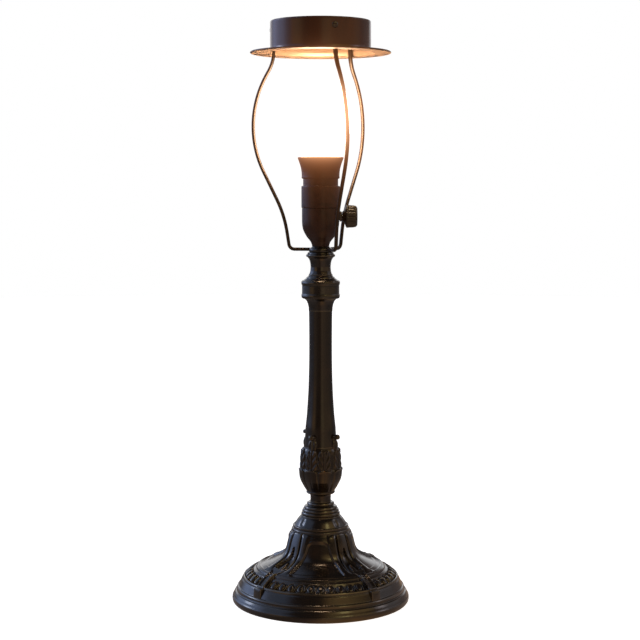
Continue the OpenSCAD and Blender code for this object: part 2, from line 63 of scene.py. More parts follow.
class Nodes:
    """A node tree with short calls for the nodes used here."""

    def __init__(self, name):
        self.mat = bpy.data.materials.new(name)
        self.mat.use_nodes = True
        self.t = self.mat.node_tree
        self.t.nodes.clear()
        self.out = self.t.nodes.new("ShaderNodeOutputMaterial")
        self.bsdf = self.t.nodes.new("ShaderNodeBsdfPrincipled")
        self.t.links.new(self.bsdf.outputs[0], self.out.inputs[0])
        self.co = self.t.nodes.new("ShaderNodeTexCoord").outputs["Object"]

    def link(self, a, b):
        self.t.links.new(a, b)

    def set(self, **kw):
        for k, v in kw.items():
            self.bsdf.inputs[k.replace("_", " ")].default_value = v

    def noise(self, scale, detail=4.0, rough=0.55, stretch=None, distort=0.0):
        n = self.t.nodes.new("ShaderNodeTexNoise")
        n.inputs["Scale"].default_value = scale
        n.inputs["Detail"].default_value = detail
        n.inputs["Roughness"].default_value = rough
        n.inputs["Distortion"].default_value = distort
        if stretch:
            m = self.t.nodes.new("ShaderNodeMapping")
            m.inputs["Scale"].default_value = stretch
            self.link(self.co, m.inputs["Vector"])
            self.link(m.outputs[0], n.inputs["Vector"])
        else:
            self.link(self.co, n.inputs["Vector"])
        return n.outputs["Fac"]

    def ramp(self, fac, stops):
        r = self.t.nodes.new("ShaderNodeValToRGB")
        el = r.color_ramp.elements
        while len(el) < len(stops):
            el.new(0.5)
        for e, (p, c) in zip(el, stops):
            e.position = p
            e.color = (c[0], c[1], c[2], 1.0) if not isinstance(c, (int, float)) else (c, c, c, 1.0)
        self.link(fac, r.inputs["Fac"])
        return r.outputs["Color"]

    def math(self, op, a, b=None, clamp=False):
        m = self.t.nodes.new("ShaderNodeMath")
        m.operation = op
        m.use_clamp = clamp
        for i, v in enumerate((a, b)):
            if v is None:
                continue
            if isinstance(v, (int, float)):
                m.inputs[i].default_value = v
            else:
                self.link(v, m.inputs[i])
        return m.outputs[0]

    def mix(self, fac, a, b):
        m = self.t.nodes.new("ShaderNodeMix")
        m.data_type = "RGBA"
        for sock, v in ((m.inputs[0], fac), (m.inputs[6], a), (m.inputs[7], b)):
            if isinstance(v, (int, float)):
                sock.default_value = v
            elif isinstance(v, (tuple, list)):
                sock.default_value = (v[0], v[1], v[2], 1.0)
            else:
                self.link(v, sock)
        return m.outputs[2]

    def map(self, v, a, b, c, d):
        m = self.t.nodes.new("ShaderNodeMapRange")
        self.link(v, m.inputs[0])
        for i, x in enumerate((a, b, c, d)):
            m.inputs[i + 1].default_value = x
        return m.outputs[0]

    def attr(self, name):
        a = self.t.nodes.new("ShaderNodeAttribute")
        a.attribute_name = name
        return a.outputs["Fac"]

    def bump(self, height, strength, distance, under=None):
        b = self.t.nodes.new("ShaderNodeBump")
        b.inputs["Strength"].default_value = strength
        b.inputs["Distance"].default_value = distance
        self.link(height, b.inputs["Height"])
        if under is not None:
            self.link(under, b.inputs["Normal"])
        return b.outputs[0]


def patina(name, dark, mid, warm, worn_and_highlight, rough, seed_scale=1.0, bump=1.0, edge=True, metallic=0.45):
    """Old chemical bronze finish: mottled brown-black with dull hollows and lighter rubbed edges, which are partly real
    wear and partly a painted highlight along the mouldings.
    """
    n = Nodes(name)
    big = n.noise(38.0 * seed_scale, 5.0, 0.6)
    mid_n = n.noise(160.0 * seed_scale, 6.0, 0.62, distort=0.4)
    fine = n.noise(1300.0, 3.0, 0.6)
    col = n.ramp(big, [(0.30, dark), (0.52, mid), (0.72, warm)])
    col = n.mix(n.map(mid_n, 0.45, 0.75, 0.0, 0.6), col, dark)
    rough_v = n.math("ADD", n.map(mid_n, 0.3, 0.75, rough - 0.03, rough + 0.06), n.map(fine, 0.3, 0.7, -0.02, 0.02))
    if edge:
        e = n.attr("edge")
        # convex edges take the lighter edge colour: part real rubbed wear, part painted highlight standing in for the
        # glints along the edges
        up = n.math("MULTIPLY", n.map(e, 0.08, 0.55, 0.0, 0.8), n.map(big, 0.30, 0.70, 0.35, 1.0))
        down = n.map(e, -0.05, -0.45, 0.0, 0.8)
        col = n.mix(up, col, worn_and_highlight)
        col = n.mix(down, col, (dark[0] * 0.45, dark[1] * 0.45, dark[2] * 0.45))
        rough_v = n.math("ADD", n.math("SUBTRACT", rough_v, n.math("MULTIPLY", up, 0.07)), n.math("MULTIPLY", down, 0.22))
    n.link(col, n.bsdf.inputs["Base Color"])
    n.link(rough_v, n.bsdf.inputs["Roughness"])
    n.set(Metallic=metallic)
    b = n.bump(mid_n, 0.10 * bump, 0.0006)
    b = n.bump(fine, 0.10 * bump, 0.00012, b)
    n.link(b, n.bsdf.inputs["Normal"])
    return n.mat


# the fourth colour of each finish is the rubbed-edge colour; on the bronze finishes it is raised as a painted edge
# highlight as well as wear
BRONZE = patina("bronze_patina", (0.009, 0.006, 0.004), (0.017, 0.011, 0.007), (0.028, 0.015, 0.008), (0.175, 0.145, 0.100), 0.18, metallic=0.40)
BRONZE.node_tree.nodes["Principled BSDF"].inputs["Specular IOR Level"].default_value = 1.0
STEM = patina("bronze_patina_stem", (0.009, 0.006, 0.004), (0.016, 0.010, 0.006), (0.026, 0.014, 0.007), (0.150, 0.120, 0.080), 0.19, metallic=0.37)
STEM.node_tree.nodes["Principled BSDF"].inputs["Specular IOR Level"].default_value = 0.78
WIRE = patina("wire_patina", (0.018, 0.011, 0.007), (0.034, 0.020, 0.012), (0.052, 0.030, 0.017), (0.12, 0.08, 0.045), 0.34, 1.4)


def gallery_metal():
    """Spun sheet with a red-brown lacquer outside and a lighter, brassy colour on the faces that turn towards the axis
    and downwards.
    """
    n = Nodes("gallery_patina")
    big = n.noise(30.0, 4.0, 0.6, stretch=(1.0, 1.0, 0.25))
    mid_n = n.noise(140.0, 5.0, 0.6, distort=0.3, stretch=(1.0, 1.0, 0.3))
    fine = n.noise(1300.0, 3.0, 0.6)
    geo = n.t.nodes.new("ShaderNodeNewGeometry")
    pos = n.t.nodes.new("ShaderNodeSeparateXYZ")
    nor = n.t.nodes.new("ShaderNodeSeparateXYZ")
    n.link(n.co, pos.inputs[0])
    n.link(geo.outputs["Normal"], nor.inputs[0])
    across = n.math("ADD", n.math("MULTIPLY", pos.outputs["X"], nor.outputs["X"]), n.math("MULTIPLY", pos.outputs["Y"], nor.outputs["Y"]))
    inward = n.map(across, -0.010, -0.030, 0.0, 1.0)
    under = n.map(nor.outputs["Z"], -0.35, -0.80, 0.0, 1.0)
    warm = n.math("MAXIMUM", inward, under)
    out = n.ramp(big, [(0.30, (0.045, 0.024, 0.015)), (0.50, (0.070, 0.026, 0.013)), (0.72, (0.105, 0.034, 0.015))])
    ins = n.ramp(big, [(0.30, (0.21, 0.130, 0.080)), (0.74, (0.27, 0.175, 0.115))])
    col = n.mix(warm, out, ins)
    e = n.attr("edge")
    col = n.mix(n.map(e, 0.10, 0.55, 0.0, 0.6), col, (0.24, 0.13, 0.07))
    rough_v = n.math("ADD", n.map(mid_n, 0.3, 0.75, 0.19, 0.27), n.map(fine, 0.3, 0.7, -0.02, 0.02))
    n.link(col, n.bsdf.inputs["Base Color"])
    n.link(n.math("ADD", rough_v, n.math("MULTIPLY", warm, 0.12)), n.bsdf.inputs["Roughness"])
    n.set(Metallic=0.15)
    b = n.bump(mid_n, 0.06, 0.0006)
    b = n.bump(fine, 0.08, 0.00012, b)
    n.link(b, n.bsdf.inputs["Normal"])
    return n.mat


GALLERY = gallery_metal()


def moulded(name, dark, light, rough, coat=0.0, swirl=60.0):
    n = Nodes(name)
    sw = n.noise(swirl, 5.0, 0.55, distort=1.4)
    fine = n.noise(900.0, 3.0, 0.6)
    n.link(n.ramp(sw, [(0.32, dark), (0.68, light)]), n.bsdf.inputs["Base Color"])
    n.link(n.math("ADD", n.map(sw, 0.3, 0.7, rough, rough + 0.08), n.map(fine, 0.3, 0.7, -0.03, 0.04)), n.bsdf.inputs["Roughness"])
    n.link(n.bump(fine, 0.06, 0.0001), n.bsdf.inputs["Normal"])
    if coat:
        n.bsdf.inputs["Coat Weight"].default_value = coat
        n.bsdf.inputs["Coat Roughness"].default_value = 0.12
    return n.mat


BAKELITE = moulded("bakelite_brown", (0.022, 0.008, 0.004), (0.052, 0.018, 0.009), 0.30)
BAKELITE.node_tree.nodes["Principled BSDF"].inputs["Specular IOR Level"].default_value = 0.36
KNOB = moulded("knob_black", (0.012, 0.010, 0.007), (0.030, 0.026, 0.016), 0.34)
PORCELAIN = moulded("porcelain_glazed", (0.70, 0.69, 0.64), (0.82, 0.81, 0.77), 0.16, 0.5, 30.0)
FIBRE = moulded("fibre_cam", (0.16, 0.05, 0.028), (0.24, 0.085, 0.045), 0.5, 0.0, 120.0)
BLACK_GLASS = moulded("black_glass", (0.012, 0.010, 0.014), (0.03, 0.025, 0.035), 0.10, 0.0, 40.0)


def metal(name, a, b, rough, stretch=(1.0, 1.0, 9.0)):
    n = Nodes(name)
    brush = n.noise(420.0, 4.0, 0.6, stretch)
    spots = n.noise(90.0, 5.0, 0.65)
    n.link(n.ramp(spots, [(0.38, a), (0.70, b)]), n.bsdf.inputs["Base Color"])
    n.link(n.math("ADD", n.map(brush, 0.3, 0.7, rough, rough + 0.12), n.map(spots, 0.4, 0.75, 0.0, 0.15)), n.bsdf.inputs["Roughness"])
    n.link(n.bump(brush, 0.12, 0.00008), n.bsdf.inputs["Normal"])
    n.set(Metallic=1.0)
    return n.mat


BRASS = metal("brass_aged", (0.52, 0.36, 0.13), (0.34, 0.22, 0.085), 0.24)
STEEL = metal("steel_plated", (0.42, 0.42, 0.43), (0.25, 0.24, 0.23), 0.28)
IRON = patina("cast_iron", (0.030, 0.028, 0.026), (0.060, 0.055, 0.050), (0.10, 0.055, 0.03), (0.12, 0.11, 0.10), 0.62, 1.6, 4.0, edge=False)


def cloth_like(name, a, b, fibre, strength, rough, sheen=0.0):
    n = Nodes(name)
    f = n.noise(fibre, 6.0, 0.7)
    g = n.noise(70.0, 4.0, 0.6)
    n.link(n.mix(n.map(f, 0.35, 0.65, 0.0, 1.0), n.mix(n.map(g, 0.3, 0.7, 0.0, 0.5), a, b), b), n.bsdf.inputs["Base Color"])
    n.set(Roughness=rough)
    n.bsdf.inputs["Sheen Weight"].default_value = sheen
    n.link(n.bump(f, strength, 0.0004), n.bsdf.inputs["Normal"])
    return n.mat


FELT = cloth_like("felt_green", (0.022, 0.045, 0.030), (0.040, 0.070, 0.048), 1800.0, 0.7, 0.95, 0.4)
CARD = cloth_like("card_brown", (0.26, 0.19, 0.12), (0.34, 0.26, 0.17), 900.0, 0.35, 0.9)


def glass(name, tint, rough):
    n = Nodes(name)
    haze = n.noise(60.0, 3.0, 0.5)
    n.set(Roughness=rough, IOR=1.5)
    n.bsdf.inputs["Transmission Weight"].default_value = 1.0
    n.link(n.ramp(haze, [(0.3, tint), (0.7, (1.0, 1.0, 1.0))]), n.bsdf.inputs["Base Color"])
    n.link(n.map(haze, 0.3, 0.7, rough, rough + 0.05), n.bsdf.inputs["Roughness"])
    return n.mat


STEM_GLASS = glass("stem_glass", (0.93, 0.97, 0.95), 0.02)


def lit_bulb():
    """Frosted glass, lit from inside: white in the middle, a little warmer at its rim and neck."""
    n = Nodes("bulb_lit")
    sep = n.t.nodes.new("ShaderNodeSeparateXYZ")
    n.link(n.co, sep.inputs[0])
    up = n.map(sep.outputs["Z"], 0.424, 0.455, 0.0, 1.0)
    frost = n.noise(700.0, 3.0, 0.6)
    n.link(n.ramp(frost, [(0.3, (0.86, 0.84, 0.80)), (0.7, (0.92, 0.91, 0.88))]), n.bsdf.inputs["Base Color"])
    n.link(n.map(frost, 0.3, 0.7, 0.30, 0.42), n.bsdf.inputs["Roughness"])
    n.link(n.ramp(up, [(0.0, (1.0, 0.52, 0.26)), (0.5, (1.0, 0.68, 0.40)), (1.0, (1.0, 0.72, 0.46))]), n.bsdf.inputs["Emission Color"])
    seen = n.t.nodes.new("ShaderNodeLightPath").outputs["Is Camera Ray"]
    n.link(n.math("MULTIPLY", n.map(up, 0.0, 1.0, 3.2, 5.5), n.map(seen, 0.0, 1.0, 6.5, 1.0)), n.bsdf.inputs["Emission Strength"])
    return n.mat


BULB = lit_bulb()


def filament():
    n = Nodes("filament_hot")
    f = n.noise(3000.0, 2.0, 0.5)
    n.link(n.ramp(f, [(0.3, (1.0, 0.62, 0.25)), (0.7, (1.0, 0.78, 0.42))]), n.bsdf.inputs["Emission Color"])
    n.bsdf.inputs["Emission Strength"].default_value = 20.0
    n.set(Metallic=1.0, Roughness=0.4)
    return n.mat


FILAMENT = filament()

LOOK = {
    "felt_pad": FELT, "bottom_card": CARD, "foot_shell": BRONZE, "foot_weight": IRON,
    "cord_bush": KNOB, "centre_tube": STEEL, "clamp_washer": STEEL, "clamp_nut": BRASS,
    "ringed_collar": BRONZE, "leaf_vase": BRONZE, "column": BRONZE, "capital": BRONZE,
    "neck_spool": BRONZE, "arm_hub": BRONZE, "shade_arm_left": WIRE, "shade_arm_front": WIRE,
    "shade_arm_back": WIRE, "shade_gallery": GALLERY, "gallery_rivets": WIRE,
    "holder_cap": BAKELITE, "holder_nut": BRASS, "holder_body": BAKELITE, "holder_skirt": BAKELITE,
    "switch_block": PORCELAIN, "socket_block": PORCELAIN, "insert_screws": STEEL,
    "terminal_screws": BRASS, "screw_shell": BRASS, "centre_spring": BRASS,
    "switch_springs": BRASS, "spindle_bush": BRONZE, "switch_spindle": STEEL,
    "switch_cam": FIBRE, "switch_knob": KNOB, "knob_grub_screw": STEEL,
    "bulb_contact": BRASS, "bulb_insulator": BLACK_GLASS, "bulb_cap": BRASS,
    "bulb_glass": BULB, "bulb_stem": STEM_GLASS, "bulb_leads": STEEL, "bulb_filament": FILAMENT,
}
for node, mat in LOOK.items():
    ob = node_object(node)
    if not ob.material_slots:
        ob.data.materials.append(mat)
    for slot in ob.material_slots:
        slot.material = mat


# ---------------------------------------------------------------- mesh tools

class Shell:
    """Closed surfaces of one piece, in millimetres."""

    def __init__(self):
        self.v, self.f, self.n = [], [], 0

    def add(self, verts, quads):
        v = np.asarray(verts, float).reshape(-1, 3)
        q = np.asarray(quads, int).reshape(-1, 4)
        a, b, c, d = (v[q[:, k]] for k in range(4))
        vol = np.einsum("ij,ij->i", a, np.cross(b, c)).sum() + np.einsum("ij,ij->i", a, np.cross(c, d)).sum()
        if vol < 0:
            q = q[:, ::-1]
        self.v.append(v)
        self.f.append(q + self.n)
        self.n += len(v)

    def grid(self, P, wrap_u=True, wrap_v=True):
        P = np.asarray(P, float)
        nu, nv = P.shape[:2]
        idx = np.arange(nu * nv).reshape(nu, nv)
        iu = np.arange(nu if wrap_u else nu - 1)[:, None]
        iv = np.arange(nv if wrap_v else nv - 1)[None, :]
        q = np.stack([idx[iu, iv], idx[(iu + 1) % nu, iv], idx[(iu + 1) % nu, (iv + 1) % nv], idx[iu, (iv + 1) % nv]], -1)
        self.add(P.reshape(-1, 3), q.reshape(-1, 4))

    def sheet(self, front, back):
        """A plate between two open grids of the same size."""
        nu, nv = front.shape[:2]
        m = nu * nv
        idx = np.arange(m).reshape(nu, nv)
        q = []
        a, b, c, d = idx[:-1, :-1], idx[1:, :-1], idx[1:, 1:], idx[:-1, 1:]
        q.append(np.stack([a, b, c, d], -1).reshape(-1, 4))
        q.append(np.stack([d, c, b, a], -1).reshape(-1, 4) + m)
        for e, flip in ((idx[:, 0], 0), (idx[:, -1], 1), (idx[0, :], 1), (idx[-1, :], 0)):
            s = np.stack([e[:-1], e[:-1] + m, e[1:] + m, e[1:]], -1)
            q.append(s[:, ::-1] if flip else s)
        self.add(np.concatenate([front.reshape(-1, 3), back.reshape(-1, 3)]), np.concatenate(q))


def piece(name, shell, mat, nodes=(), body="stand", sharp=40.0, attr=True):
    me = bpy.data.meshes.new(name)
    v = np.concatenate(shell.v) * 0.001
    q = np.concatenate(shell.f)
    me.from_pydata(v.tolist(), [], q.tolist())
    bm = bmesh.new()
    bm.from_mesh(me)
    bmesh.ops.remove_doubles(bm, verts=bm.verts, dist=3e-7)
    bm.to_mesh(me)
    bm.free()
    me.polygons.foreach_set("use_smooth", [True] * len(me.polygons))
    me.set_sharp_from_angle(angle=radians(sharp))
    if attr:
        edge_attribute(me)
    me.materials.append(mat)
    ob = bpy.data.objects.new(name, me)
    bpy.context.scene.collection.objects.link(ob)
    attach(ob, body)
    if nodes:
        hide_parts(*nodes)
    return ob


def edge_attribute(me):
    """How sharply the surface bends outwards (above 0) or inwards (below 0) at each point."""
    n, ne = len(me.vertices), len(me.edges)
    co = np.empty(n * 3)
    me.vertices.foreach_get("co", co)
    co = co.reshape(-1, 3) * 1000.0
    e = np.empty(ne * 2, dtype=np.int32)
    me.edges.foreach_get("vertices", e)
    e = e.reshape(-1, 2)
    no = np.empty(n * 3)
    me.vertex_normals.foreach_get("vector", no)
    no = no.reshape(-1, 3)
    d = co[e[:, 1]] - co[e[:, 0]]
    l2 = np.maximum((d * d).sum(1), 1e-6)
    k0 = -(no[e[:, 0]] * d).sum(1) / l2
    k1 = (no[e[:, 1]] * d).sum(1) / l2
    s = np.zeros(n)
    c = np.zeros(n)
    np.add.at(s, e[:, 0], k0)
    np.add.at(s, e[:, 1], k1)
    np.add.at(c, e[:, 0], 1.0)
    np.add.at(c, e[:, 1], 1.0)
    val = s / np.maximum(c, 1)
    for _ in range(2):
        t = np.zeros(n)
        np.add.at(t, e[:, 0], val[e[:, 1]])
        np.add.at(t, e[:, 1], val[e[:, 0]])
        val = 0.5 * val + 0.5 * t / np.maximum(c, 1)
    a = me.attributes.new("edge", "FLOAT", "POINT")
    a.data.foreach_set("value", np.clip(val, -1.0, 1.0).astype(np.float32))


def fillet(pts, arc=3, closed=False):
    """Points (r, z, corner radius) as a line with rounded corners."""
    out = []
    n = len(pts)
    for i, p in enumerate(pts):
        f = p[2] if len(p) > 2 else 0.0
        if f <= 0 or (not closed and i in (0, n - 1)):
            out.append((p[0], p[1]))
            continue
        a, b, c = (np.array(pts[(i + k) % n][:2], float) for k in (-1, 0, 1))
        u, w = a - b, c - b
        lu, lw = np.linalg.norm(u), np.linalg.norm(w)
        u, w = u / lu, w / lw
        ang = math.acos(max(-1.0, min(1.0, float(u @ w))))
        if ang > 3.06 or ang < 0.05:
            out.append((b[0], b[1]))
            continue
        d = min(f / tan(ang / 2), lu * 0.47, lw * 0.47)
        r = d * tan(ang / 2)
        m = (u + w) / np.linalg.norm(u + w)
        cc = b + m * (r / sin(ang / 2))
        p0, p1 = b + u * d, b + w * d
        a0 = atan2(p0[1] - cc[1], p0[0] - cc[0])
        a1 = atan2(p1[1] - cc[1], p1[0] - cc[0])
        da = (a1 - a0 + pi) % (2 * pi) - pi
        k = max(2, int(math.ceil(abs(da) / (pi / 2) * arc)))
        for j in range(k + 1):
            t = a0 + da * j / k
            out.append((cc[0] + r * cos(t), cc[1] + r * sin(t)))
    return out


def spline(pts, step):
    """A smooth line through the points."""
    p = np.array(pts, float)
    p = np.vstack([2 * p[0] - p[1], p, 2 * p[-1] - p[-2]])
    out = [tuple(p[1])]
    for i in range(1, len(p) - 2):
        a, b, c, d = p[i - 1], p[i], p[i + 1], p[i + 2]
        k = max(1, int(round(np.linalg.norm(c - b) / step)))
        for j in range(1, k + 1):
            t = j / k
            q = 0.5 * (2 * b + (c - a) * t + (2 * a - 5 * b + 4 * c - d) * t * t + (3 * b - a - 3 * c + d) * t ** 3)
            out.append((q[0], q[1]))
    return out


def dense(pts, step):
    out = [pts[0]]
    for a, b in zip(pts[:-1], pts[1:]):
        k = max(1, int(math.ceil(hypot(b[0] - a[0], b[1] - a[1]) / step)))
        for j in range(1, k + 1):
            out.append((a[0] + (b[0] - a[0]) * j / k, a[1] + (b[1] - a[1]) * j / k))
    return out


def tidy(pts):
    out = [pts[0]]
    for p in pts[1:]:
        if hypot(p[0] - out[-1][0], p[1] - out[-1][1]) > 0.02:
            out.append(p)
    return out


def turned(shell, pts, n=128, closed=True, centre=(0.0, 0.0), wobble=0.0):
    """A turned shape from its outline (r, z)."""
    p = np.array(tidy(pts), float)
    if closed and np.linalg.norm(p[0] - p[-1]) < 0.02:
        p = p[:-1]
    az = np.arange(n) * 2 * pi / n
    r = p[None, :, 0] + wobble * (np.sin(3 * az + 0.7) + 0.6 * np.sin(5 * az + 2.1) + 0.4 * np.sin(8 * az))[:, None]
    r = np.where(p[None, :, 0] < 0.01, 0.0, r)
    P = np.stack([centre[0] + r * np.sin(az)[:, None], centre[1] - r * np.cos(az)[:, None], np.broadcast_to(p[None, :, 1], r.shape)], -1)
    shell.grid(P, True, closed)


def smooth(a, b, x):
    t = np.clip((x - a) / (b - a), 0.0, 1.0)
    return t * t * (3 - 2 * t)


def bump1(x, c, w):
    return np.exp(-((x - c) / w) ** 2)


# ---------------------------------------------------------------- foot

PANEL_AZ = -4.0


def foot():
    out = []
    out += fillet([(17.5, 84.8), (18.7, 84.95, .35), (19.5, 84.5, .45), (19.3, 83.7, .2), (19.9, 83.3)])
    out += spline([(19.9, 83.3), (21.2, 81.9), (22.8, 79.8), (24.2, 77.6), (25.2, 75.9)], 1.0)[1:]
    out += fillet([(25.2, 75.9), (25.5, 75.45, .2), (26.5, 75.5, .45), (27.15, 74.7, .6), (27.1, 73.3, .6), (26.6, 72.75, .25),
                   (27.5, 72.5, .45), (28.3, 71.5, .7), (28.2, 70.3, .4), (28.3, 69.9)])[1:]
    n0 = len(out)
    flank = spline([(28.3, 69.9), (28.9, 68.2), (30, 65.5), (31, 62.7), (32, 59.5), (33, 56), (34, 52.8), (35, 50.4), (36, 48.6),
                    (38, 46), (40, 44.2), (44, 41.8), (48, 39.7), (52, 37.9), (56, 36.2), (59.4, 34.7)], 0.66)
    out += flank[1:]
    n1 = len(out)
    out += fillet([(59.4, 34.7), (60.2, 35.1, .5), (61.5, 35.1, .7), (62.6, 34.2, .8), (62.9, 32.8, .4), (64.2, 32.4, .4), (65.5, 31.7, .5),
                   (67.0, 29.2, .6), (73.3, 24.6, .5), (74.5, 25.7, .4), (75.4, 25.5, .35), (75.9, 24.5, .3), (76.1, 23.3, .5), (77, 22.2, 1.0),
                   (79.9, 15.9, .4), (80.9, 15.4, .4), (81.7, 14.4, .6), (81.7, 12.9, .5), (82.1, 11.5, .5), (83.4, 10.7, .5),
                   (84.6, 8.8, 1.2), (85.4, 7, .5), (86.2, 5.8, .8), (86.48, 3.6, 1.6), (86.1, 1.5, 1.0), (85.1, 0.2, .4), (83.0, 0.2)])[1:]
    out = tidy(dense(out, 1.15))
    n_out = len(out)
    inside = [(83, 2.4), (80.8, 2.4), (80.8, 6), (79.3, 9), (77.2, 12.5), (75.8, 16), (73.2, 21.5), (71, 24), (60, 24), (57.5, 31),
              (52, 33.4), (44, 37.2), (38, 40.8), (34, 44.6), (31.2, 49.5), (29.3, 54), (27.3, 60), (25.3, 65.5), (23, 70.5),
              (20.5, 75), (17.5, 79), (14, 81), (5.3, 81), (5.3, 84.8)]
    p = np.array(out + inside, float)
    nv = len(p)
    # outward direction in the plane of the outline
    t = np.roll(p, -1, 0) - np.roll(p, 1, 0)
    t /= np.linalg.norm(t, axis=1)[:, None]
    nrm = np.stack([-t[:, 1], t[:, 0]], -1)
    if nrm[n0 + 10][0] < 0:
        nrm = -nrm
    # distance down the flank
    first = int(np.argmin(np.hypot(p[:n_out, 0] - 28.3, p[:n_out, 1] - 69.9)))
    seg = np.r_[0.0, np.cumsum(np.linalg.norm(np.diff(p, axis=0), axis=1))]
    sf = (seg - seg[first])[:, None]
    r = p[:, 0][:, None]
    E = np.interp(r, [28.2, 30.8, 31.5, 33.7, 34.9, 37, 38.7, 41.5, 46, 49, 53.2, 57.9, 60], [14.2, 16.4, 17.4, 19.8, 21.4, 23.2, 24.4, 25.3, 26.2, 26.5, 27.1, 28.2, 29.5])
    G = np.interp(r, [28, 31.9, 35, 39.7, 45.9, 50, 52.2, 55, 57, 59, 61, 63, 66, 75], [34.0, 33.6, 34.0, 34.2, 34.3, 34.6, 35.2, 36.8, 38.3, 39.7, 40.5, 40.9, 41.1, 41.3])
    is_in = np.arange(nv) >= n_out
    E[is_in], G[is_in] = 28.0, 41.0
    rr = np.maximum(r, 24.0)
    b = np.degrees(0.75 / rr)
    z0 = np.zeros_like(E)
    keys = np.concatenate([z0, E - b, E + b, G - b, G + b, z0 + 45.0], 1)
    counts = [13, 5, 6, 6, 12]
    cols = []
    for k, m in enumerate(counts):
        for j in range(m):
            f = j / m
            cols.append(keys[:, k] * (1 - f) + keys[:, k + 1] * f)
    half = np.stack(cols, 1)                                   # 0 up to 45 degrees, without its end
    full = np.concatenate([half, 90.0 - np.concatenate([np.full((nv, 1), 45.0), half[:, 1:][:, ::-1]], 1)], 1)
    # full runs from a panel's middle to the next panel's middle
    delta = np.where(full <= 45.0, full, 90.0 - full)
    mm = rr * pi / 180.0
    x = (delta - G) * mm                                       # past the border's outer edge, towards the rib
    w = (45.0 - delta) * mm                                    # from the rib's middle
    dx = (E - delta) * mm                                      # inside the panel's side
    dy = np.minimum(sf - 7.0, 49.0 - sf)
    rho = 5.0
    d = np.where((dx < rho) & (dy < rho), rho - np.hypot(np.maximum(rho - dx, 0), np.maximum(rho - dy, 0)), np.minimum(dx, dy))
    on = smooth(-0.2, 0.8, sf) * (1 - smooth(50.5, 52.0, sf))
    top = smooth(12.0, 8.0, sf)
    tp = smooth(-0.5 - 0.9 * top, 0.75 + 1.5 * top, d)
    border = 0.35 + 0.55 * smooth(3.0, 3.9, sf)
    border = np.where(delta > E + 2, 0.9, border)
    roll = np.clip((delta - E) / (G - E), 0.0, 1.0)
    border = border + 0.95 * np.sin(pi * roll) ** 0.8 * smooth(0.0, 4.0, sf) * (1 - smooth(44.0, 50.0, sf))
    h = border * (1 - tp) - 0.35 * tp + 0.32 * bump1(d, -0.95, 0.5) + 0.25 * bump1(sf, 3.4, 0.5) * (x < -1) * (dx > -2)
    # rib: a strap with a keyhole slot, then a bracket over the beads
    key_w = np.interp(sf, [13.8, 14.1, 14.7, 15.6, 18, 22, 26, 30, 34, 38, 40.6, 41.8, 42.4], [-0.6, 0.4, 0.95, 1.3, 1.55, 2.2, 3.4, 5.1, 6.5, 7.3, 7.0, 5.2, -0.6])
    leg = 1.15 * smooth(0.0, 1.2, x)
    inside_key = smooth(-0.35, 0.5, key_w - w)
    floor_h = -1.5 + 0.25 * (w / 6.0)
    tip_w = np.interp(sf, [28.5, 29.5, 32, 36, 41, 43], [0.01, 0.6, 1.5, 2.5, 3.0, 3.0])
    tip = np.where(w < tip_w, 1.9 * np.sqrt(np.clip(1 - (w / tip_w) ** 2, 0, 1)), 0.0) * smooth(28.5, 32, sf)
    strap = leg * (1 - inside_key) + (floor_h + tip) * inside_key
    hc = np.interp(r, [50, 53, 58, 60.5, 61.5, 62.8, 63.6, 65.4, 67, 70, 73.2, 74.5, 75.3, 75.9, 76.2], [1.15, 1.2, 1.5, 1.3, 1.3, 1.9, 2.5, 2.6, 3.5, 3.3, 3.0, 1.6, 1.1, 0.5, 0.0])
    hollow = smooth(1.3, 3.4, x) * smooth(54, 58, r) * (1 - smooth(74.0, 75.5, r))
    bracket = (hc * smooth(-0.45, 0.55, x) + 0.35 * bump1(x, 0.9, 0.5) * smooth(53, 57, r) * (1 - smooth(74.5, 75.8, r)) - 0.9 * hollow)
    past = smooth(41.5, 43.5, sf)
    rib = strap * (1 - past) + bracket * past
    groove = np.exp(-(x / 0.62) ** 2) * smooth(-0.2, 0.8, sf) * (1 - smooth(36.0, 42.0, sf))
    zone = np.where(x > 0, 1.0, 0.0)
    hh = np.where(zone > 0, np.where(sf < 43.6, rib, bracket), h)
    hh = hh * (1 - groove) - 0.75 * groove
    side = np.where(x <= 0, bracket * (sf > 43.6), 0.0)        # the bracket's flank runs out over the border
    hh = np.where((x <= 0) & (sf > 43.6), np.maximum(h * on, side), hh * np.where(sf < 43.6, on, 1.0))
    live = (sf > -0.2) & (r < 76.3) & (np.arange(nv)[:, None] < n_out)
    H = np.where(live, hh, 0.0)
    # shallow flute down the dome above each rib
    dome = (r > 19.6) & (sf < -6.5) & (np.arange(nv)[:, None] < n_out)
    H = H - np.where(dome, 0.55 * np.exp(-((delta - 45.0) / 6.0) ** 2) * smooth(19.6, 21.2, r) * (1 - smooth(24.2, 25.1, r)), 0.0)
    P = []
    for q in range(4):
        az = np.radians(PANEL_AZ + 90.0 * q + full)
        R = p[:, 0][:, None] + nrm[:, 0][:, None] * H
        Z = p[:, 1][:, None] + nrm[:, 1][:, None] * H
        P.append(np.stack([R * np.sin(az), -R * np.cos(az), Z], -1))
    sh = Shell()
    sh.grid(np.concatenate(P, 1).transpose(1, 0, 2), True, True)
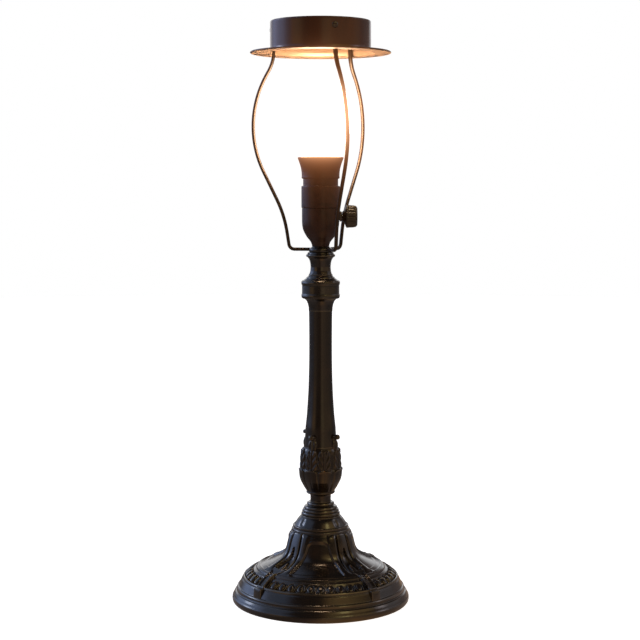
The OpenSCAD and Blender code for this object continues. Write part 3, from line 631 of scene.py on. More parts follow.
    # oval beads, each in a fine raised frame
    m = 24
    rad = np.array([0.0, 0.22, 0.44, 0.62, 0.77, 0.88, 0.95, 1.0, 1.03, 1.09, 1.17, 1.27, 1.37, 1.44, 1.47])
    hgt = np.where(rad < 1.0, 2.15 * np.clip(1 - rad ** 4.2, 0, 1) ** 0.55 - 0.05, 0.0)
    hgt[7:] = [-0.25, -0.15, 0.65, 1.20, 1.42, 1.15, 0.45, -0.9]
    lo, hi = np.array((67.0, 29.2)), np.array((73.3, 24.6))
    sl = (hi - lo) / np.linalg.norm(hi - lo)
    nb = np.array((-sl[1], sl[0]))
    nb = nb if nb[0] > 0 else -nb
    mid = (lo + hi) / 2 - 0.55 * sl
    ang = np.arange(m) * 2 * pi / m
    for q in range(4):
        for i in range(10):
            az = radians(PANEL_AZ + 90.0 * q + (i - 4.5) * 7.75)
            lon = 4.75 * (rad - 0.5 * np.maximum(rad - 1.03, 0.0))[None, :] * np.cos(ang)[:, None]
            lat = 3.22 * rad[None, :] * np.sin(ang)[:, None]
            R = mid[0] + sl[0] * lon + nb[0] * hgt
            Z = mid[1] + sl[1] * lon + nb[1] * hgt
            R = np.concatenate([R, np.full((m, 1), mid[0] - 0.9 * nb[0])], 1)
            Z = np.concatenate([Z, np.full((m, 1), mid[1] - 0.9 * nb[1])], 1)
            lat = np.concatenate([lat, np.zeros((m, 1))], 1)
            a = az + lat / mid[0]
            sh.grid(np.stack([R * np.sin(a), -R * np.cos(a), Z], -1), True, False)
    return sh


def foot_blocks(sh):
    """A square block with softened edges below each rib, standing a little proud of the sloped fascia."""
    for q in range(4):
        az = radians(PANEL_AZ + 45.0 + 90.0 * q)
        outline = fillet([(-5.2, 14.0, .5), (5.2, 14.0, .5), (5.1, 24.6, .7), (-5.1, 24.6, .7)], 3, True)
        rings = []
        for d, k in ((-7.5, 1.0), (0.9, 1.0), (1.35, 0.985), (1.62, 0.955), (1.7, 0.90)):
            ring = []
            for cx, cz in outline:
                cz2 = 19.3 + (cz - 19.3) * k
                face = np.interp(cz2, [13.0, 25.0], [79.1, 77.9])
                ring.append((cx * k, face - cx * cx * k * k / 160.0 + d, cz2))
            rings.append(ring)
        n = len(outline)
        P = np.array(rings)
        back = np.tile([[0.0, 70.0, 19.3]], (n, 1))
        front = np.tile([[0.0, 78.5 + 1.72, 19.3]], (n, 1))
        P = np.concatenate([back[None], P, front[None]])
        X = P[..., 0] * cos(az) + P[..., 1] * sin(az)
        Y = P[..., 0] * sin(az) - P[..., 1] * cos(az)
        sh.grid(np.stack([X, Y, P[..., 2]], -1), False, True)


# ---------------------------------------------------------------- stem

def stem():
    sh = Shell()
    turned(sh, dense(fillet([(5.3, 84.9), (17.5, 84.9, .2), (18.5, 85.3, .5), (18.9, 86.5, .9), (18.3, 87.9, .5), (17.2, 88.2, .15), (17.5, 88.5, .3),
                             (17.9, 89.5, .8), (17.2, 90.8, .4), (15.8, 91.15, .15), (16.0, 91.5, .3), (16.2, 92.4, .7), (15.4, 93.6, .5),
                             (13.4, 94.0, .4), (12.4, 94.7, .3), (13.0, 95.2, .4), (13.5, 96.0, .6), (12.9, 97.1, .4), (12.0, 97.6), (5.3, 97.6)]), 1.5), 160)
    piece("collar_turned", sh, BRONZE, ["ringed_collar"])

    sh = Shell()
    turned(sh, [(8.5, 146), (16.1, 146)] + spline([(16.1, 146), (16.05, 150), (15.4, 158), (15, 164), (14.7, 170), (14.2, 175), (13.4, 182.6),
                (12.8, 190.6), (12.3, 198.6), (11.85, 207), (11.55, 215), (11.2, 229), (11.05, 240), (11, 252), (11.05, 266), (11.15, 277), (11.25, 284)], 2.5)
           + [(8.5, 284)], 144, wobble=0.035)
    piece("column_turned", sh, STEM, ["column"])

    sh = Shell()
    turned(sh, dense(fillet([(5.3, 278), (8.3, 278), (8.3, 284.05), (11.45, 284.05, .2), (11.6, 287.4, 4), (12.3, 290.8, 4), (13.6, 293.9, 3),
                             (15.4, 295.8, 2), (16.6, 296.1, .15), (16.8, 296.3, .1), (17.5, 296.2, .5), (18.45, 297.1, .7), (18.6, 298.6, .9),
                             (18.4, 300.2, .6), (18.05, 300.7, .2), (17.95, 301.1, .2), (17.9, 308.8, .2), (18.05, 309.3, .2), (18.4, 309.6, .5),
                             (18.65, 311.2, .9), (18.4, 312.8, .7), (17.6, 313.6, .4), (16.6, 313.7, .2), (16.1, 314.2, .3), (15.4, 314.7, .6),
                             (13.8, 315.8, 2), (13.5, 316.6, .25), (12.6, 317.0, .5), (11.9, 318.0, .4), (11.4, 318.6), (5.3, 318.6)]), 1.5), 160)
    piece("capital_turned", sh, BRONZE, ["capital"])

    sh = Shell()
    turned(sh, dense(fillet([(5.3, 318.7), (11.3, 318.7, .2), (11.5, 319.3, .3), (10.5, 320.6, .8), (9.9, 322.8, 3), (9.65, 326.4, 5), (9.9, 330, 4),
                             (10.6, 333, 4), (11.6, 334.9, 2), (12.9, 336.2, .5), (13.8, 336.6, .5), (14.1, 337.5, .6), (13.7, 338.5, .5),
                             (12.7, 339.2, .6), (12.3, 340.55), (5.3, 340.55)]), 1.2), 144)
    piece("neck_turned", sh, BRONZE, ["neck_spool"])

    sh = Shell()
    turned(sh, dense(fillet([(5.1, 340.6), (10.6, 340.6, .2), (11.3, 341.2, .5), (11.4, 342.8, .8), (10.9, 344.2, .5), (9.4, 345.2, .5), (8.6, 345.9, .3),
                             (8.3, 346.2), (5.1, 346.2)]), 0.9), 120)
    piece("hub_turned", sh, BRONZE, ["arm_hub"])


VASE = [(97.6, 10.2), (100, 10.0), (104, 10.1), (105.4, 10.6), (105.8, 12.8), (106.6, 13.8), (107.8, 13.9), (109, 13.4), (111.4, 14.8), (115, 16.6),
        (118.6, 18.1), (123, 19.4), (127.5, 19.9), (132, 19.6), (138, 18.9), (144, 18.5), (149, 18.0), (151.6, 17.4), (158, 16.6), (170, 16.0)]


BODY = [(108.6, 13.9), (111.4, 15.0), (115, 16.6), (118.6, 17.6), (123, 18.7), (127.5, 19.1), (132, 18.6), (138, 17.9), (144, 17.5), (151.4, 16.9), (158, 15.9), (166, 15.5)]


def body_r(z):
    return np.interp(z, [p[0] for p in BODY], [p[1] for p in BODY])


def leaf(sh, az, z0, z1, path, width, out_r, roll, lobes, notch=0.0, ribs=1.0, turn=235.0, cling=0.0):
    """An acanthus leaf that clings to the vase and rolls outwards at its tip.

    path: (height, radius of the leaf's face) up to the roll, width: half width in degrees along the leaf,
    out_r: outermost radius of the rolled tip, roll: its radius, notch: depth of the dip in the tip's middle.
    """
    nu, nv = 35, 50
    A = np.linspace(-1, 1, nu)[:, None]
    T = np.linspace(0, 1, nv)[None, :]
    aa = np.abs(A)
    s1 = 0.76
    tt = np.minimum(T, s1) / s1
    rr = np.clip((T - s1) / (1 - s1), 0, 1)
    W = np.interp(T, np.linspace(0, 1, len(width)), width)
    wave = lobes * (tt + 0.10 * aa) + 0.20
    lob = np.abs(np.sin(pi * wave)) ** 0.6
    W = W * (1 - 0.20 * (1 - lob) * smooth(0.4, 1.0, aa) * (1 - smooth(0.85, 1.0, tt)))
    Z = z0 + (z1 - z0) * tt + (z1 - z0) * 0.10 * aa ** 1.5 * np.sin(pi * np.minimum(tt, 1.0))
    face = np.interp(Z, [p[0] for p in path], [p[1] for p in path])
    size = roll * np.sqrt(np.maximum(1 - 0.72 * aa ** 2, 0.05)) * (1 - notch * np.exp(-(A / 0.24) ** 2))
    R = face + (out_r - 2 * roll - path[-1][1]) * smooth(0.40, 1.0, tt) ** 1.5 + 0.0 * A
    # midrib with a groove on each side, and one swelling for each lobe
    fade = 1 - smooth(0.80, 1.0, tt)
    R += ribs * (0.50 * np.exp(-(A / 0.10) ** 2) - 0.38 * bump1(aa, 0.27, 0.14)) * (1 - 0.6 * rr)
    R += ribs * 1.35 * (lob - 0.60) * smooth(0.22, 0.66, aa) * (1 - smooth(0.88, 1.0, aa)) * fade
    R -= (1.35 - 0.7 * smooth(0.5, 1.0, tt)) * aa ** 5 + cling * aa ** 3 * (1 - 0.6 * rr)
    th = np.radians(turn) * rr
    Z = Z + size * np.sin(th)
    R = R + size * (1 - np.cos(th))
    ang = np.radians(az + A * W)
    F = np.stack([R * np.sin(ang), -R * np.cos(ang), np.broadcast_to(Z, R.shape)], -1)
    nn = np.cross(np.gradient(F, axis=0), np.gradient(F, axis=1))
    nn /= np.maximum(np.linalg.norm(nn, axis=2), 1e-9)[..., None]
    ref = np.stack([np.sin(ang), -np.cos(ang), 0 * ang], -1)
    if (nn[:, 8] * ref[:, 8]).sum() < 0:
        nn = -nn
    k = 1.15 * (1 - 0.40 * aa ** 2) * (1 - 0.45 * rr)
    sh.sheet(F, F - nn * k[..., None])


LOW_FACE = [(108.6, 13.6), (110, 14.6), (113, 16.5), (116, 18.1), (119, 19.6), (122, 20.5), (125, 20.9), (128, 21.1), (130.5, 21.1), (132.5, 20.6), (134, 20.2)]
MID_FACE = [(108.6, 12.6), (110, 13.5), (113, 15.4), (116, 17.0), (119, 18.5), (122, 19.4), (125, 19.9), (130, 20.0), (134, 20.0), (140, 19.8), (146, 19.4),
            (148.5, 18.9), (150.3, 18.1), (151.7, 17.3), (153.2, 16.4)]
LEAF_AZ = (-74.0, -29.0, 13.0, 60.0, 106.0, 151.0, 195.0, 241.0)


def leaf_tiers(az, z):
    """Radius of the vase's skin with its two rows of clinging leaves, az in degrees and z as grids."""
    body = np.interp(z, [p[0] for p in BODY], [p[1] for p in BODY]) - 0.3
    low_f = np.interp(z, [p[0] for p in LOW_FACE], [p[1] for p in LOW_FACE])
    mid_f = np.interp(z, [p[0] for p in MID_FACE], [p[1] for p in MID_FACE])
    low_on = 1 - smooth(129.0, 132.0, z)
    body = np.maximum(body, (low_f - 1.0) * low_on + (mid_f - 1.1) * (1 - low_on))
    r = body.copy()
    for i, c in enumerate(LEAF_AZ):
        wob = sin(2.3 * i + 0.7)
        # upper row: lobed edge, midrib and side veins
        d = (az - c - 2 * wob + 180.0) % 360.0 - 180.0
        t = (z - 130.0) / 21.6
        half = np.interp(t, [-0.3, 0.0, 0.35, 0.60, 0.80, 0.92, 1.0, 1.1], [21.5, 22.0, 21.0, 19.5, 17.0, 13.5, 9.0, 5.0])
        u = np.abs(d) / half
        swell = np.abs(np.sin(pi * (2.6 * t + 0.55 * np.minimum(u, 1.2) + 0.10 + 0.05 * wob))) ** 0.7
        half = half * (1 - 0.10 * (1 - swell) * smooth(0.0, 0.2, t))
        side = (half - np.abs(d)) * 0.33
        tip = 151.6 + 0.4 * wob - 1.5 * np.minimum(u, 1.3) ** 2.0 - 0.9 * np.exp(-(d / 3.4) ** 2) - z
        edge = np.minimum(side, tip)
        vein = np.cos(2 * pi * (3.0 * t - 1.15 * np.minimum(u, 1.2) + 0.15 + 0.05 * wob))
        rel = 0.34 * np.exp(-(d / 1.9) ** 2) - 0.16 * bump1(np.abs(d), 4.2, 1.6) + 0.40 * vein * smooth(0.16, 0.42, u) * (1 - smooth(0.85, 1.0, u))
        rel = rel - 0.30 * smooth(0.70, 1.0, u)
        rel = rel * (1 - smooth(0.86, 1.0, t)) + 0.42 * np.exp(-((tip - 1.6) / 1.1) ** 2)
        h = mid_f + rel
        r = np.maximum(r, body + (h - body) * smooth(-0.3, 1.1, edge))
    for i, c in enumerate(LEAF_AZ):
        wob = sin(2.3 * i + 0.7)
        # lower row: plain rounded petals with a thin lip
        d = (az - c - wob + 180.0) % 360.0 - 180.0
        half = np.interp(z, [107, 112, 118, 126, 129, 131, 132.5, 134], [23.5, 23.0, 22.4, 21.6, 20.4, 18.2, 13.5, 6.0])
        u = np.abs(d) / half
        side = (half - np.abs(d)) * 0.35
        tip = 132.1 + 0.3 * wob - 1.9 * np.minimum(u, 1.3) ** 2.2 - z
        edge = np.minimum(side, tip)
        rel = 0.10 - 0.42 * u ** 2 - 0.22 * np.exp(-(d / 1.5) ** 2) * smooth(111, 116, z) * (1 - smooth(126, 130, z))
        rel = rel + 0.60 * np.exp(-((tip - 1.4) / 1.0) ** 2)
        h = low_f + rel
        ok = smooth(-0.2, 1.5, edge)
        r = np.where(ok > 0.0, np.maximum(np.where(ok >= 1.0, 0.0, r * 1.0), body + (h - body) * ok), r)
    return r


def vase():
    sh = Shell()
    foot_ring = dense(fillet([(5.4, 97.65), (10.2, 97.65, .1), (9.95, 100, 2), (10.05, 103.8, .8), (10.7, 105.4, .3), (12.9, 105.9, .5), (13.9, 106.7, .5),
                              (13.9, 107.8, .4), (13.6, 108.5)]), 1.0)
    skin = [(0.0, z) for z in np.arange(108.9, 152.75, 0.34)]
    rest = [(16.4, 152.9), (16.3, 152.8), (16.3, 146), (8.3, 146), (8.3, 150.4), (5.4, 150.4)]
    p = np.array(foot_ring + skin + rest, float)
    n = 400
    az = np.arange(n) * 360.0 / n
    R = np.broadcast_to(p[None, :, 0], (n, len(p))).copy()
    a, b = len(foot_ring), len(foot_ring) + len(skin)
    A, Z = np.meshgrid(az, p[a:b, 1], indexing="ij")
    body = leaf_tiers(A, Z)
    # the last steps bend in to the rim round the column
    body = body * (1 - smooth(151.4, 152.8, Z)) + 16.45 * smooth(151.4, 152.8, Z)
    body = np.minimum(body, 13.75 + (Z - 108.6) * 0.9)
    R[:, a:b] = body
    q = np.radians(az)[:, None]
    sh.grid(np.stack([R * np.sin(q), -R * np.cos(q), np.broadcast_to(p[None, :, 1], R.shape)], -1), True, True)
    top = [(142, 18.3), (148, 18.2), (154, 17.8), (160, 17.5), (164, 17.4)]
    for i, az_ in enumerate(LEAF_AZ):
        if i % 2 == 1:
            back = float(az_ > 200.0)
            leaf(sh, az_, 143.0, 162.2 + 2.8 * back, top, [13, 17, 19.5, 20, 18.5, 16.5, 13.5, 10.5, 9, 8], 20.3 - 1.7 * back, 1.7 - 0.4 * back, 2.0, ribs=1.0, turn=265.0, cling=1.3)
    return sh


# ---------------------------------------------------------------- shade carrier

ARMS = {"shade_arm_left": (-99.0, 0.0, 0.0), "shade_arm_front": (22.5, -1.7, -2.8), "shade_arm_back": (140.5, 0.0, 0.0)}
ARM_PATH = [(16, 0), (5.5, 81), (12, 0), (110, -17), (30, 0), (98, 56), (4, 0), (40, -30), (11, 0)]


def arm_path():
    x, z, hd = 9.5, 343.4, 0.0
    pts = [(x, z, hd)]
    for a, b in ARM_PATH:
        if b == 0:
            k = max(1, int(math.ceil(a / 2.5)))
            for i in range(1, k + 1):
                pts.append((x + a * i / k * cos(radians(hd)), z + a * i / k * sin(radians(hd)), hd))
        else:
            k = max(4, int(math.ceil(abs(b) / (7.0 if a < 10 else 1.5))))
            sg = 1 if b > 0 else -1
            for i in range(1, k + 1):
                h2 = hd + b * i / k
                pts.append((x + a * sg * (sin(radians(h2)) - sin(radians(hd))), z + a * sg * (cos(radians(hd)) - cos(radians(h2))), h2))
        x, z, hd = pts[-1]
    return pts


def arm(name):
    az, low, high = ARMS[name]
    pts = arm_path()
    m = 24
    j = np.arange(m) * 2 * pi / m
    top_az = az + degrees(asin((550 - 445) * tan(radians(high)) / 45.2))
    rings = []
    for i, (x, z, hd) in enumerate(pts):
        flat = float(smooth(537.0, 545.0, z))
        half_l = 1.85 + 0.45 * float(smooth(500.0, 530.0, z)) + 1.05 * flat
        half_n = 1.62 - 0.88 * flat
        lat = half_l * np.sin(j)
        nor = half_n * np.cos(j)
        # a flattened end has square-shouldered sides
        if flat > 0:
            lat = lat * (1 - flat) + flat * half_l * np.sign(np.sin(j)) * np.abs(np.sin(j)) ** 0.45
            nor = nor * (1 - flat) + flat * half_n * np.sign(np.cos(j)) * np.abs(np.cos(j)) ** 0.45
        xx = x - nor * sin(radians(hd)) + flat * (46.38 - x)
        zz = z + nor * cos(radians(hd))
        # lean about the level of the bulb
        ll = lat + (z - 445.0) * tan(radians(low if z < 445 else high))
        a = radians(az - 90.0)
        X = xx * cos(a) - ll * sin(a)
        Y = xx * sin(a) + ll * cos(a)
        if flat > 0:
            # the flat end lies on the gallery wall's curve
            rad = 46.38 + (xx - x - flat * (46.38 - x)) * 1.0
            b = radians(top_az - 90.0) + lat / 46.4
            X = X * (1 - flat) + flat * rad * np.cos(b)
            Y = Y * (1 - flat) + flat * rad * np.sin(b)
        rings.append(np.stack([X, Y, zz], -1))
    P = np.array(rings)
    end = P[-1]
    c = end.mean(0)
    P = np.concatenate([np.tile(P[0].mean(0), (1, m, 1)), P, (c + (end - c) * 0.93 + np.array((0, 0, 0.45)))[None], np.tile(c + np.array((0, 0, 0.6)), (1, m, 1))])
    sh = Shell()
    sh.grid(P, False, True)
    return sh


def gallery():
    sh = Shell()
    out = fillet([(66.4, 529.45, .3), (67.0, 529.9, .35), (67.0, 530.9, .35), (66.4, 531.2, .3), (65.4, 530.45, .8), (52.2, 530.3, .5), (49.2, 531.2, 2.2),
                  (48.0, 534.6, 2.5), (48.0, 557.4, .1), (48.0, 560.0, 2.3), (44.9, 560.0, .4), (44.4, 559.5, .3), (44.8, 559.2, .2),
                  (47.2, 559.2, 1.5), (47.2, 534.0, 3), (48.5, 530.4, 2.5), (51.6, 529.5, .6), (65.4, 529.65, .8)], 4, True)
    turned(sh, dense(out + [out[0]], 1.6), 192, wobble=0.05)
    return sh


def rivets():
    """Shallow domed heads outside, small burrs inside, through wall and arm."""
    sh = Shell()
    n = 40
    prof = [(0.0, 44.45), (1.2, 44.5), (2.1, 44.6), (2.6, 44.95), (2.75, 45.35), (2.6, 45.5), (1.5, 45.5), (1.5, 48.0), (2.95, 48.02),
            (3.05, 48.12), (2.95, 48.35), (2.6, 48.62), (2.0, 48.86), (1.2, 49.02), (0.5, 49.08), (0.0, 49.1)]
    for name, (az, low, high) in ARMS.items():
        b = radians(az + degrees(asin((550 - 445) * tan(radians(high)) / 45.2)))
        P = []
        for r, d in prof:
            a = np.arange(n) * 2 * pi / n
            u, v = r * np.cos(a), r * np.sin(a)
            P.append(np.stack([u * cos(b) + d * sin(b), u * sin(b) - d * cos(b), 552.0 + v], -1))
        sh.grid(np.array(P), False, True)
    return sh


# ---------------------------------------------------------------- lampholder

def holder():
    sh = Shell()
    turned(sh, dense(fillet([(5.1, 346.3), (8.25, 346.3, .2), (8.5, 348.0, 2), (9.5, 350.6, 3), (11.2, 352.9, 5), (13.3, 355.4, 6), (15.4, 359, 8), (17, 362.6, 10), (17.7, 366.4, 10),
                             (17.95, 370, 8), (17.95, 382.2, .1), (17.95, 382.8, .5), (17.4, 382.8, .1), (16.3, 382.8), (16.3, 390), (15.3, 390), (15.3, 366), (14.2, 363.8),
                             (12, 359.4), (9.4, 356), (9, 352), (5.1, 352)]), 1.8), 144)
    return sh


def holder_top():
    sh = Shell()
    turned(sh, dense(fillet([(16.5, 383.0), (17.6, 383.0, .1), (18.4, 383.2, .5), (18.45, 384.5, .3), (18.45, 402.9, .3), (18.4, 404.0, .6), (17.2, 404.2, .2),
                             (16.8, 404.4, .1), (16.8, 417), (14.3, 417), (14.3, 403.4), (15.4, 402.6), (15.4, 390.4), (16.5, 390.4)]), 1.8) + [(16.5, 383.0)], 144)
    return sh


def skirt():
    sh = Shell()
    turned(sh, dense(fillet([(16.95, 411), (17.75, 411.0, .4), (18.25, 411.9, .4), (18.1, 414, 3), (18.25, 417.4, 6), (18.8, 421, 8), (19.8, 424.6, 8), (21, 428, 5),
                             (21.9, 430.4, .6), (22.0, 431.2, .3), (21.6, 431.55, .3), (20.9, 431.4, .4), (19.8, 429.8, 2), (18, 428, 3), (16, 426.8, 2), (14.5, 426.2, .3), (14.5, 417.3), (16.95, 417.3)]), 1.2)
           + [(16.95, 411)], 144)
    return sh


def knob():
    """A fluted knob on a level axis, with a waisted neck behind it."""
    out = fillet([(2.02, 20.7), (4.4, 20.7, .4), (5.2, 21.6, .8), (6.6, 22.8, 1.5), (9.6, 24.1, .8), (10.7, 24.6, .6), (11.0, 25.6, .6), (10.75, 27.4, 1), (10.6, 31.4, 1.5),
                  (10.0, 34.0, 1.2), (8.4, 35.2, 1.0), (6.6, 35.3, .5), (5.9, 34.7, .4), (3.0, 34.5, 1), (0.0, 34.5)])
    p = np.array(tidy(dense(out, 0.7)) + [(0.0, 32.5), (2.02, 32.5)], float)
    n = 168
    az = np.arange(n) * 2 * pi / n
    flute = np.abs(np.cos(7 * az)) ** 0.7                      # fourteen flutes
    depth = np.interp(p[:, 1], [23.6, 24.8, 27.0, 32.0, 34.6, 35.2], [0.0, 0.35, 1.0, 0.95, 0.3, 0.0]) * (p[:, 0] > 8.0)
    R = p[None, :, 0] - (1 - flute)[:, None] * depth[None, :] * 0.9
    X = np.broadcast_to(p[None, :, 1], R.shape)
    P = np.stack([X, R * np.sin(az)[:, None], 375.0 + R * np.cos(az)[:, None]], -1)
    sh = Shell()
    sh.grid(P, True, True)
    return sh


# ---------------------------------------------------------------- bulb and screw shell

PITCH = 3.62


def threaded(sh, rows, n=120, phase=0.0):
    """rows are (radius, height, depth of the thread there), all round a closed outline."""
    p = np.array(rows, float)
    az = np.arange(n) * 2 * pi / n
    wave = 0.5 + 0.5 * np.cos(2 * pi * (p[None, :, 1] - phase) / PITCH - az[:, None])
    wave = wave ** 0.8
    R = p[None, :, 0] - p[None, :, 2] * (1 - wave)
    P = np.stack([R * np.sin(az)[:, None], -R * np.cos(az)[:, None], np.broadcast_to(p[None, :, 1], R.shape)], -1)
    sh.grid(P, True, True)


def bulb_cap():
    rows = [(12.2, 404.3, 0), (12.55, 404.5, 0)]
    z = 405.2
    while z < 419.6:
        k = float(smooth(405.2, 407.2, z) * (1 - smooth(417.0, 419.4, z)))
        rows.append((12.95, z, 0.95 * k))
        z += 0.3
    rows += [(13.0, 420.2, 0), (13.05, 421.0, 0), (13.05, 425.2, 0), (12.95, 425.6, 0), (12.75, 425.6, 0), (12.7, 421.0, 0)]
    z = 419.6
    while z > 405.2:
        k = float(smooth(405.2, 407.2, z) * (1 - smooth(417.0, 419.4, z)))
        rows.append((12.6, z, 0.95 * k))
        z -= 0.3
    rows += [(12.1, 404.9, 0)]
    sh = Shell()
    threaded(sh, rows)
    return sh


def screw_shell():
    rows = [(8.0, 394.06, 0), (13.5, 394.06, 0), (13.75, 394.3, 0)]
    z = 395.0
    while z < 416.4:
        k = float(smooth(395.0, 397.0, z) * (1 - smooth(414.0, 416.4, z)))
        rows.append((14.15, z, 0.62 * k))
        z += 0.36
    rows += [(13.85, 417.0, 0), (14.1, 417.8, 0), (14.1, 418.1, 0), (13.5, 418.1, 0), (13.5, 417.0, 0)]
    z = 416.4
    while z > 395.2:
        k = float(smooth(395.0, 397.0, z) * (1 - smooth(414.0, 416.4, z)))
        rows.append((13.85, z, 0.55 * k))
        z -= 0.36
    rows += [(13.4, 394.65, 0), (8.0, 394.6, 0)]
    sh = Shell()
    threaded(sh, rows, phase=1.81)
    return sh


def bulb_glass():
    side = [(12.35, 422.0), (12.6, 425.8), (14.4, 427.4), (17.0, 430.0), (18.8, 432.6), (19.7, 435.6), (20.4, 438.5), (21.7, 442.0),
            (23.5, 445.6), (25.7, 449.8), (28.1, 455.0), (30.2, 461.0), (31.6, 466.6)]
    zc = 472.8
    side += [(32.2 * cos(radians(a)), zc + 32.2 * sin(radians(a))) for a in range(0, 90, 6)] + [(0.0, zc + 32.2)]
    outer = spline(side, 1.6)
    outer[-1] = (0.0, zc + 32.2)
    inner = []
    p = np.array(outer)
    t = np.gradient(p, axis=0)
    t /= np.linalg.norm(t, axis=1)[:, None]
    for q, d in zip(p, t):
        inner.append((max(0.0, q[0] - 0.65 * d[1]), q[1] + 0.65 * d[0]))
    inner[-1] = (0.0, zc + 31.55)
    sh = Shell()
    n = 144
    az = np.arange(n) * 2 * pi / n
    for line in (outer + inner[::-1],):
        q = np.array(tidy(line), float)
        R = q[None, :, 0]
        P = np.stack([R * np.sin(az)[:, None], -R * np.cos(az)[:, None], np.broadcast_to(q[None, :, 1], (n, len(q)))], -1)
        sh.grid(P, True, True)
    return sh


foot_shell_ = foot()
foot_blocks(foot_shell_)
piece("foot_casting", foot_shell_, BRONZE, ["foot_shell"])
stem()
piece("vase_casting", vase(), STEM, ["leaf_vase"], sharp=55.0)
for arm_name in ARMS:
    piece(arm_name.replace("shade_", "") + "_bent", arm(arm_name), WIRE, [arm_name])
piece("gallery_spun", gallery(), GALLERY, ["shade_gallery"])
piece("rivet_heads", rivets(), BRONZE, ["gallery_rivets"])
piece("holder_cap_moulded", holder(), BAKELITE, ["holder_cap"])
piece("holder_body_moulded", holder_top(), BAKELITE, ["holder_body"])
piece("holder_skirt_moulded", skirt(), BAKELITE, ["holder_skirt"])
piece("knob_fluted", knob(), KNOB, ["switch_knob"], body="switch")
piece("bulb_cap_rolled", bulb_cap(), BRASS, ["bulb_cap"], body="bulb")
piece("screw_shell_rolled", screw_shell(), BRASS, ["screw_shell"])
piece("bulb_glass_blown", bulb_glass(), BULB, ["bulb_glass"], body="bulb", attr=False)


# ---------------------------------------------------------------- floor, world and lights

def floor():
    n = 96
    radii = [0.0, 0.1, 0.25, 0.5, 1.0, 2.0, 4.0]
    verts = [(0.0, 0.0, 0.0)]
    faces = []
    for r in radii[1:]:
        verts += [(r * cos(2 * pi * i / n), r * sin(2 * pi * i / n), 0.0) for i in range(n)]
    faces += [(0, 1 + i, 1 + (i + 1) % n) for i in range(n)]
    for k in range(len(radii) - 2):
        a, b = 1 + k * n, 1 + (k + 1) * n
        faces += [(a + i, b + i, b + (i + 1) % n, a + (i + 1) % n) for i in range(n)]
    me = bpy.data.meshes.new("studio_floor")
    me.from_pydata(verts, [], faces)
    ob = bpy.data.objects.new("studio_floor", me)
    bpy.context.scene.collection.objects.link(ob)
    n_ = Nodes("studio_floor")
    grain = n_.noise(14.0, 3.0, 0.5)
    seen = n_.t.nodes.new("ShaderNodeLightPath").outputs["Is Camera Ray"]
    pale = n_.ramp(grain, [(0.3, (0.74, 0.74, 0.73)), (0.7, (0.78, 0.78, 0.77))])
    n_.link(n_.mix(seen, n_.ramp(grain, [(0.3, (0.05, 0.045, 0.04)), (0.7, (0.06, 0.055, 0.05))]), pale), n_.bsdf.inputs["Base Color"])
    n_.set(Roughness=0.9)
    n_.bsdf.inputs["Specular IOR Level"].default_value = 0.1
    # what the lamp's polish mirrors of the table: warm on the right, dim on the left
    xyz = n_.t.nodes.new("ShaderNodeSeparateXYZ")
    n_.link(n_.co, xyz.inputs[0])
    ox, oy = xyz.outputs["X"], xyz.outputs["Y"]
    dist = n_.math("SQRT", n_.math("ADD", n_.math("MULTIPLY", ox, ox), n_.math("MULTIPLY", oy, oy)))
    turn = n_.math("ADD", n_.math("MULTIPLY", n_.math("DIVIDE", ox, n_.math("ADD", dist, 0.001)), 0.5), 0.5)
    far = n_.ramp(turn, [(0.0, (0.16, 0.14, 0.13)), (0.20, (0.24, 0.18, 0.14)), (0.44, (0.16, 0.10, 0.07)), (0.60, (0.44, 0.30, 0.22)), (0.85, (0.36, 0.27, 0.20)), (1.0, (0.16, 0.14, 0.13))])
    near = n_.ramp(turn, [(0.0, (0.30, 0.25, 0.24)), (0.25, (0.16, 0.12, 0.09)), (0.42, (0.30, 0.18, 0.13)), (0.54, (0.85, 0.48, 0.21)), (0.70, (0.85, 0.48, 0.21)), (0.90, (0.42, 0.29, 0.20)), (1.0, (0.40, 0.30, 0.26))])
    room = n_.mix(n_.map(dist, 0.14, 0.60, 0.0, 1.0), near, far)
    room = n_.mix(n_.map(oy, 0.0, 0.5, 0.0, 1.0), room, (0.11, 0.10, 0.10))
    n_.link(n_.mix(seen, room, (0.97, 0.97, 0.97)), n_.bsdf.inputs["Emission Color"])
    n_.bsdf.inputs["Emission Strength"].default_value = 1.0
    me.materials.append(n_.mat)


floor()

world = bpy.data.worlds.new("studio")
bpy.context.scene.world = world
world.use_nodes = True
wt = world.node_tree
wt.nodes.clear()
w_out = wt.nodes.new("ShaderNodeOutputWorld")
w_mix = wt.nodes.new("ShaderNodeMixShader")
w_dim = wt.nodes.new("ShaderNodeBackground")
w_pale = wt.nodes.new("ShaderNodeBackground")
w_path = wt.nodes.new("ShaderNodeLightPath")
w_co = wt.nodes.new("ShaderNodeTexCoord")
w_sep = wt.nodes.new("ShaderNodeSeparateXYZ")
wt.links.new(w_co.outputs["Generated"], w_sep.inputs[0])


def w_range(v, a, b, c, d):
    m = wt.nodes.new("ShaderNodeMapRange")
    m.interpolation_type = "SMOOTHSTEP"
    wt.links.new(v, m.inputs[0])
    for i, x in enumerate((a, b, c, d)):
        m.inputs[i + 1].default_value = x
    return m.outputs[0]


def w_math(op, a, b=None):
    m = wt.nodes.new("ShaderNodeMath")
    m.operation = op
    for i, v in enumerate((a, b)):
        if v is None:
            continue
        if isinstance(v, (int, float)):
            m.inputs[i].default_value = v
        else:
            wt.links.new(v, m.inputs[i])
    return m.outputs[0]


def w_mixer(fac, a, b, blend="MIX"):
    m = wt.nodes.new("ShaderNodeMix")
    m.data_type = "RGBA"
    m.blend_type = blend
    for sock, v in ((m.inputs[0], fac), (m.inputs[6], a), (m.inputs[7], b)):
        if isinstance(v, tuple):
            sock.default_value = (v[0], v[1], v[2], 1.0)
        else:
            wt.links.new(v, sock)
    return m.outputs[2]


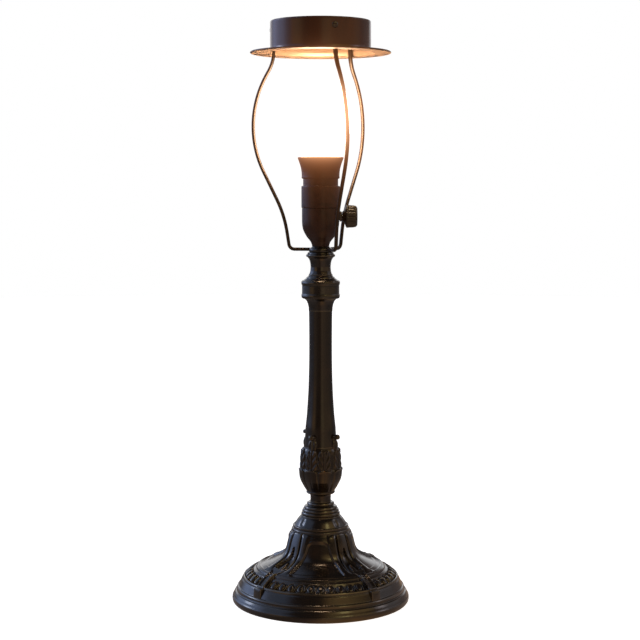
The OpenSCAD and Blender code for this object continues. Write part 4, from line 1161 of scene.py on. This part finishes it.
# a dim room: a tall window on the left, a warm lamp high on the right, a pale wall behind
w_x, w_y, w_z = (w_sep.outputs[k] for k in "XYZ")
w_az = w_math("ARCTAN2", w_x, w_math("MULTIPLY", w_y, -1.0))
w_el = w_math("ARCSINE", w_z)
w_sky = w_mixer(w_range(w_z, 0.30, 0.85, 0.0, 1.0), (0.100, 0.074, 0.060), (0.050, 0.046, 0.046))


def w_patch(a0, a1, sa, e0, e1, se, colour):
    """A soft-edged patch from azimuth a0 to a1 and elevation e0 to e1, in degrees from the front towards the right."""
    global w_sky
    a0, a1, sa, e0, e1, se = (radians(v) for v in (a0, a1, sa, e0, e1, se))
    wide = w_math("MULTIPLY", w_range(w_az, a0 - sa, a0 + sa, 0.0, 1.0), w_range(w_az, a1 - sa, a1 + sa, 1.0, 0.0))
    tall = w_math("MULTIPLY", w_range(w_el, e0 - se, e0 + se, 0.0, 1.0), w_range(w_el, e1 - se, e1 + se, 1.0, 0.0))
    w_sky = w_mixer(w_math("MULTIPLY", wide, tall), w_sky, colour, "LIGHTEN")


w_patch(-165, -48, 9, 12, 60, 8, (0.35, 0.45, 0.66))
w_patch(-160, -72, 8, -8, 20, 6, (0.40, 0.46, 0.62))
w_patch(-72, -44, 8, -8, 12, 5, (0.75, 0.48, 0.24))
w_patch(-137, -88, 8, 2, 31, 7, (0.92, 1.22, 2.00))
w_patch(-121, -109, 2.5, 17, 30, 2.5, (5.5, 6.4, 8.5))
w_patch(28, 100, 8, -8, 14, 6, (0.52, 0.37, 0.23))
w_patch(100, 165, 10, -8, 30, 8, (0.26, 0.21, 0.20))
w_patch(2, 28, 5, -6, 10, 5, (0.78, 0.60, 0.34))
w_patch(84, 128, 8, 10, 46, 8, (0.48, 0.46, 0.48))
w_patch(90, 101, 3, 25, 37, 3, (2.8, 2.6, 2.8))
w_patch(10, 82, 12, 27, 53, 8, (0.92, 0.63, 0.27))
w_patch(33, 45, 3, 43, 53, 3, (5.0, 4.2, 1.8))
w_back = w_math("MULTIPLY", w_range(w_y, 0.80, 0.93, 0.0, 1.0), w_math("MULTIPLY", w_range(w_el, 0.03, 0.12, 0.0, 1.0), w_range(w_z, 0.42, 0.26, 0.0, 1.0)))
wt.links.new(w_mixer(w_back, w_sky, (1.45, 1.45, 1.48)), w_dim.inputs[0])
w_dim.inputs[1].default_value = 1.0
w_pale.inputs[0].default_value = (1.0, 1.0, 1.0, 1.0)
w_pale.inputs[1].default_value = 1.0
wt.links.new(w_path.outputs["Is Camera Ray"], w_mix.inputs[0])
wt.links.new(w_dim.outputs[0], w_mix.inputs[1])
wt.links.new(w_pale.outputs[0], w_mix.inputs[2])
wt.links.new(w_mix.outputs[0], w_out.inputs[0])


scene = bpy.context.scene
scene.view_settings.view_transform = "Standard"
scene.view_settings.look = "None"

# the lit bulb glows a little into the lens
scene.use_nodes = True
ct = scene.node_tree
ct.nodes.clear()
c_in = ct.nodes.new("CompositorNodeRLayers")
c_sum = c_in.outputs["Image"]
for size, strength, tint in ((0.03, 0.30, (0.62, 0.85, 1.0, 1.0)), (0.14, 0.50, (1.0, 0.45, 0.22, 1.0))):
    c_glow = ct.nodes.new("CompositorNodeGlare")
    c_glow.glare_type = "BLOOM"
    c_glow.quality = "HIGH"
    c_glow.inputs["Threshold"].default_value = 1.5
    c_glow.inputs["Smoothness"].default_value = 0.1
    c_glow.inputs["Strength"].default_value = strength
    c_glow.inputs["Saturation"].default_value = 1.0
    c_glow.inputs["Tint"].default_value = tint
    c_glow.inputs["Size"].default_value = size
    ct.links.new(c_sum, c_glow.inputs["Image"])
    c_sum = c_glow.outputs["Image"]
c_out = ct.nodes.new("CompositorNodeComposite")
ct.links.new(c_sum, c_out.inputs["Image"])
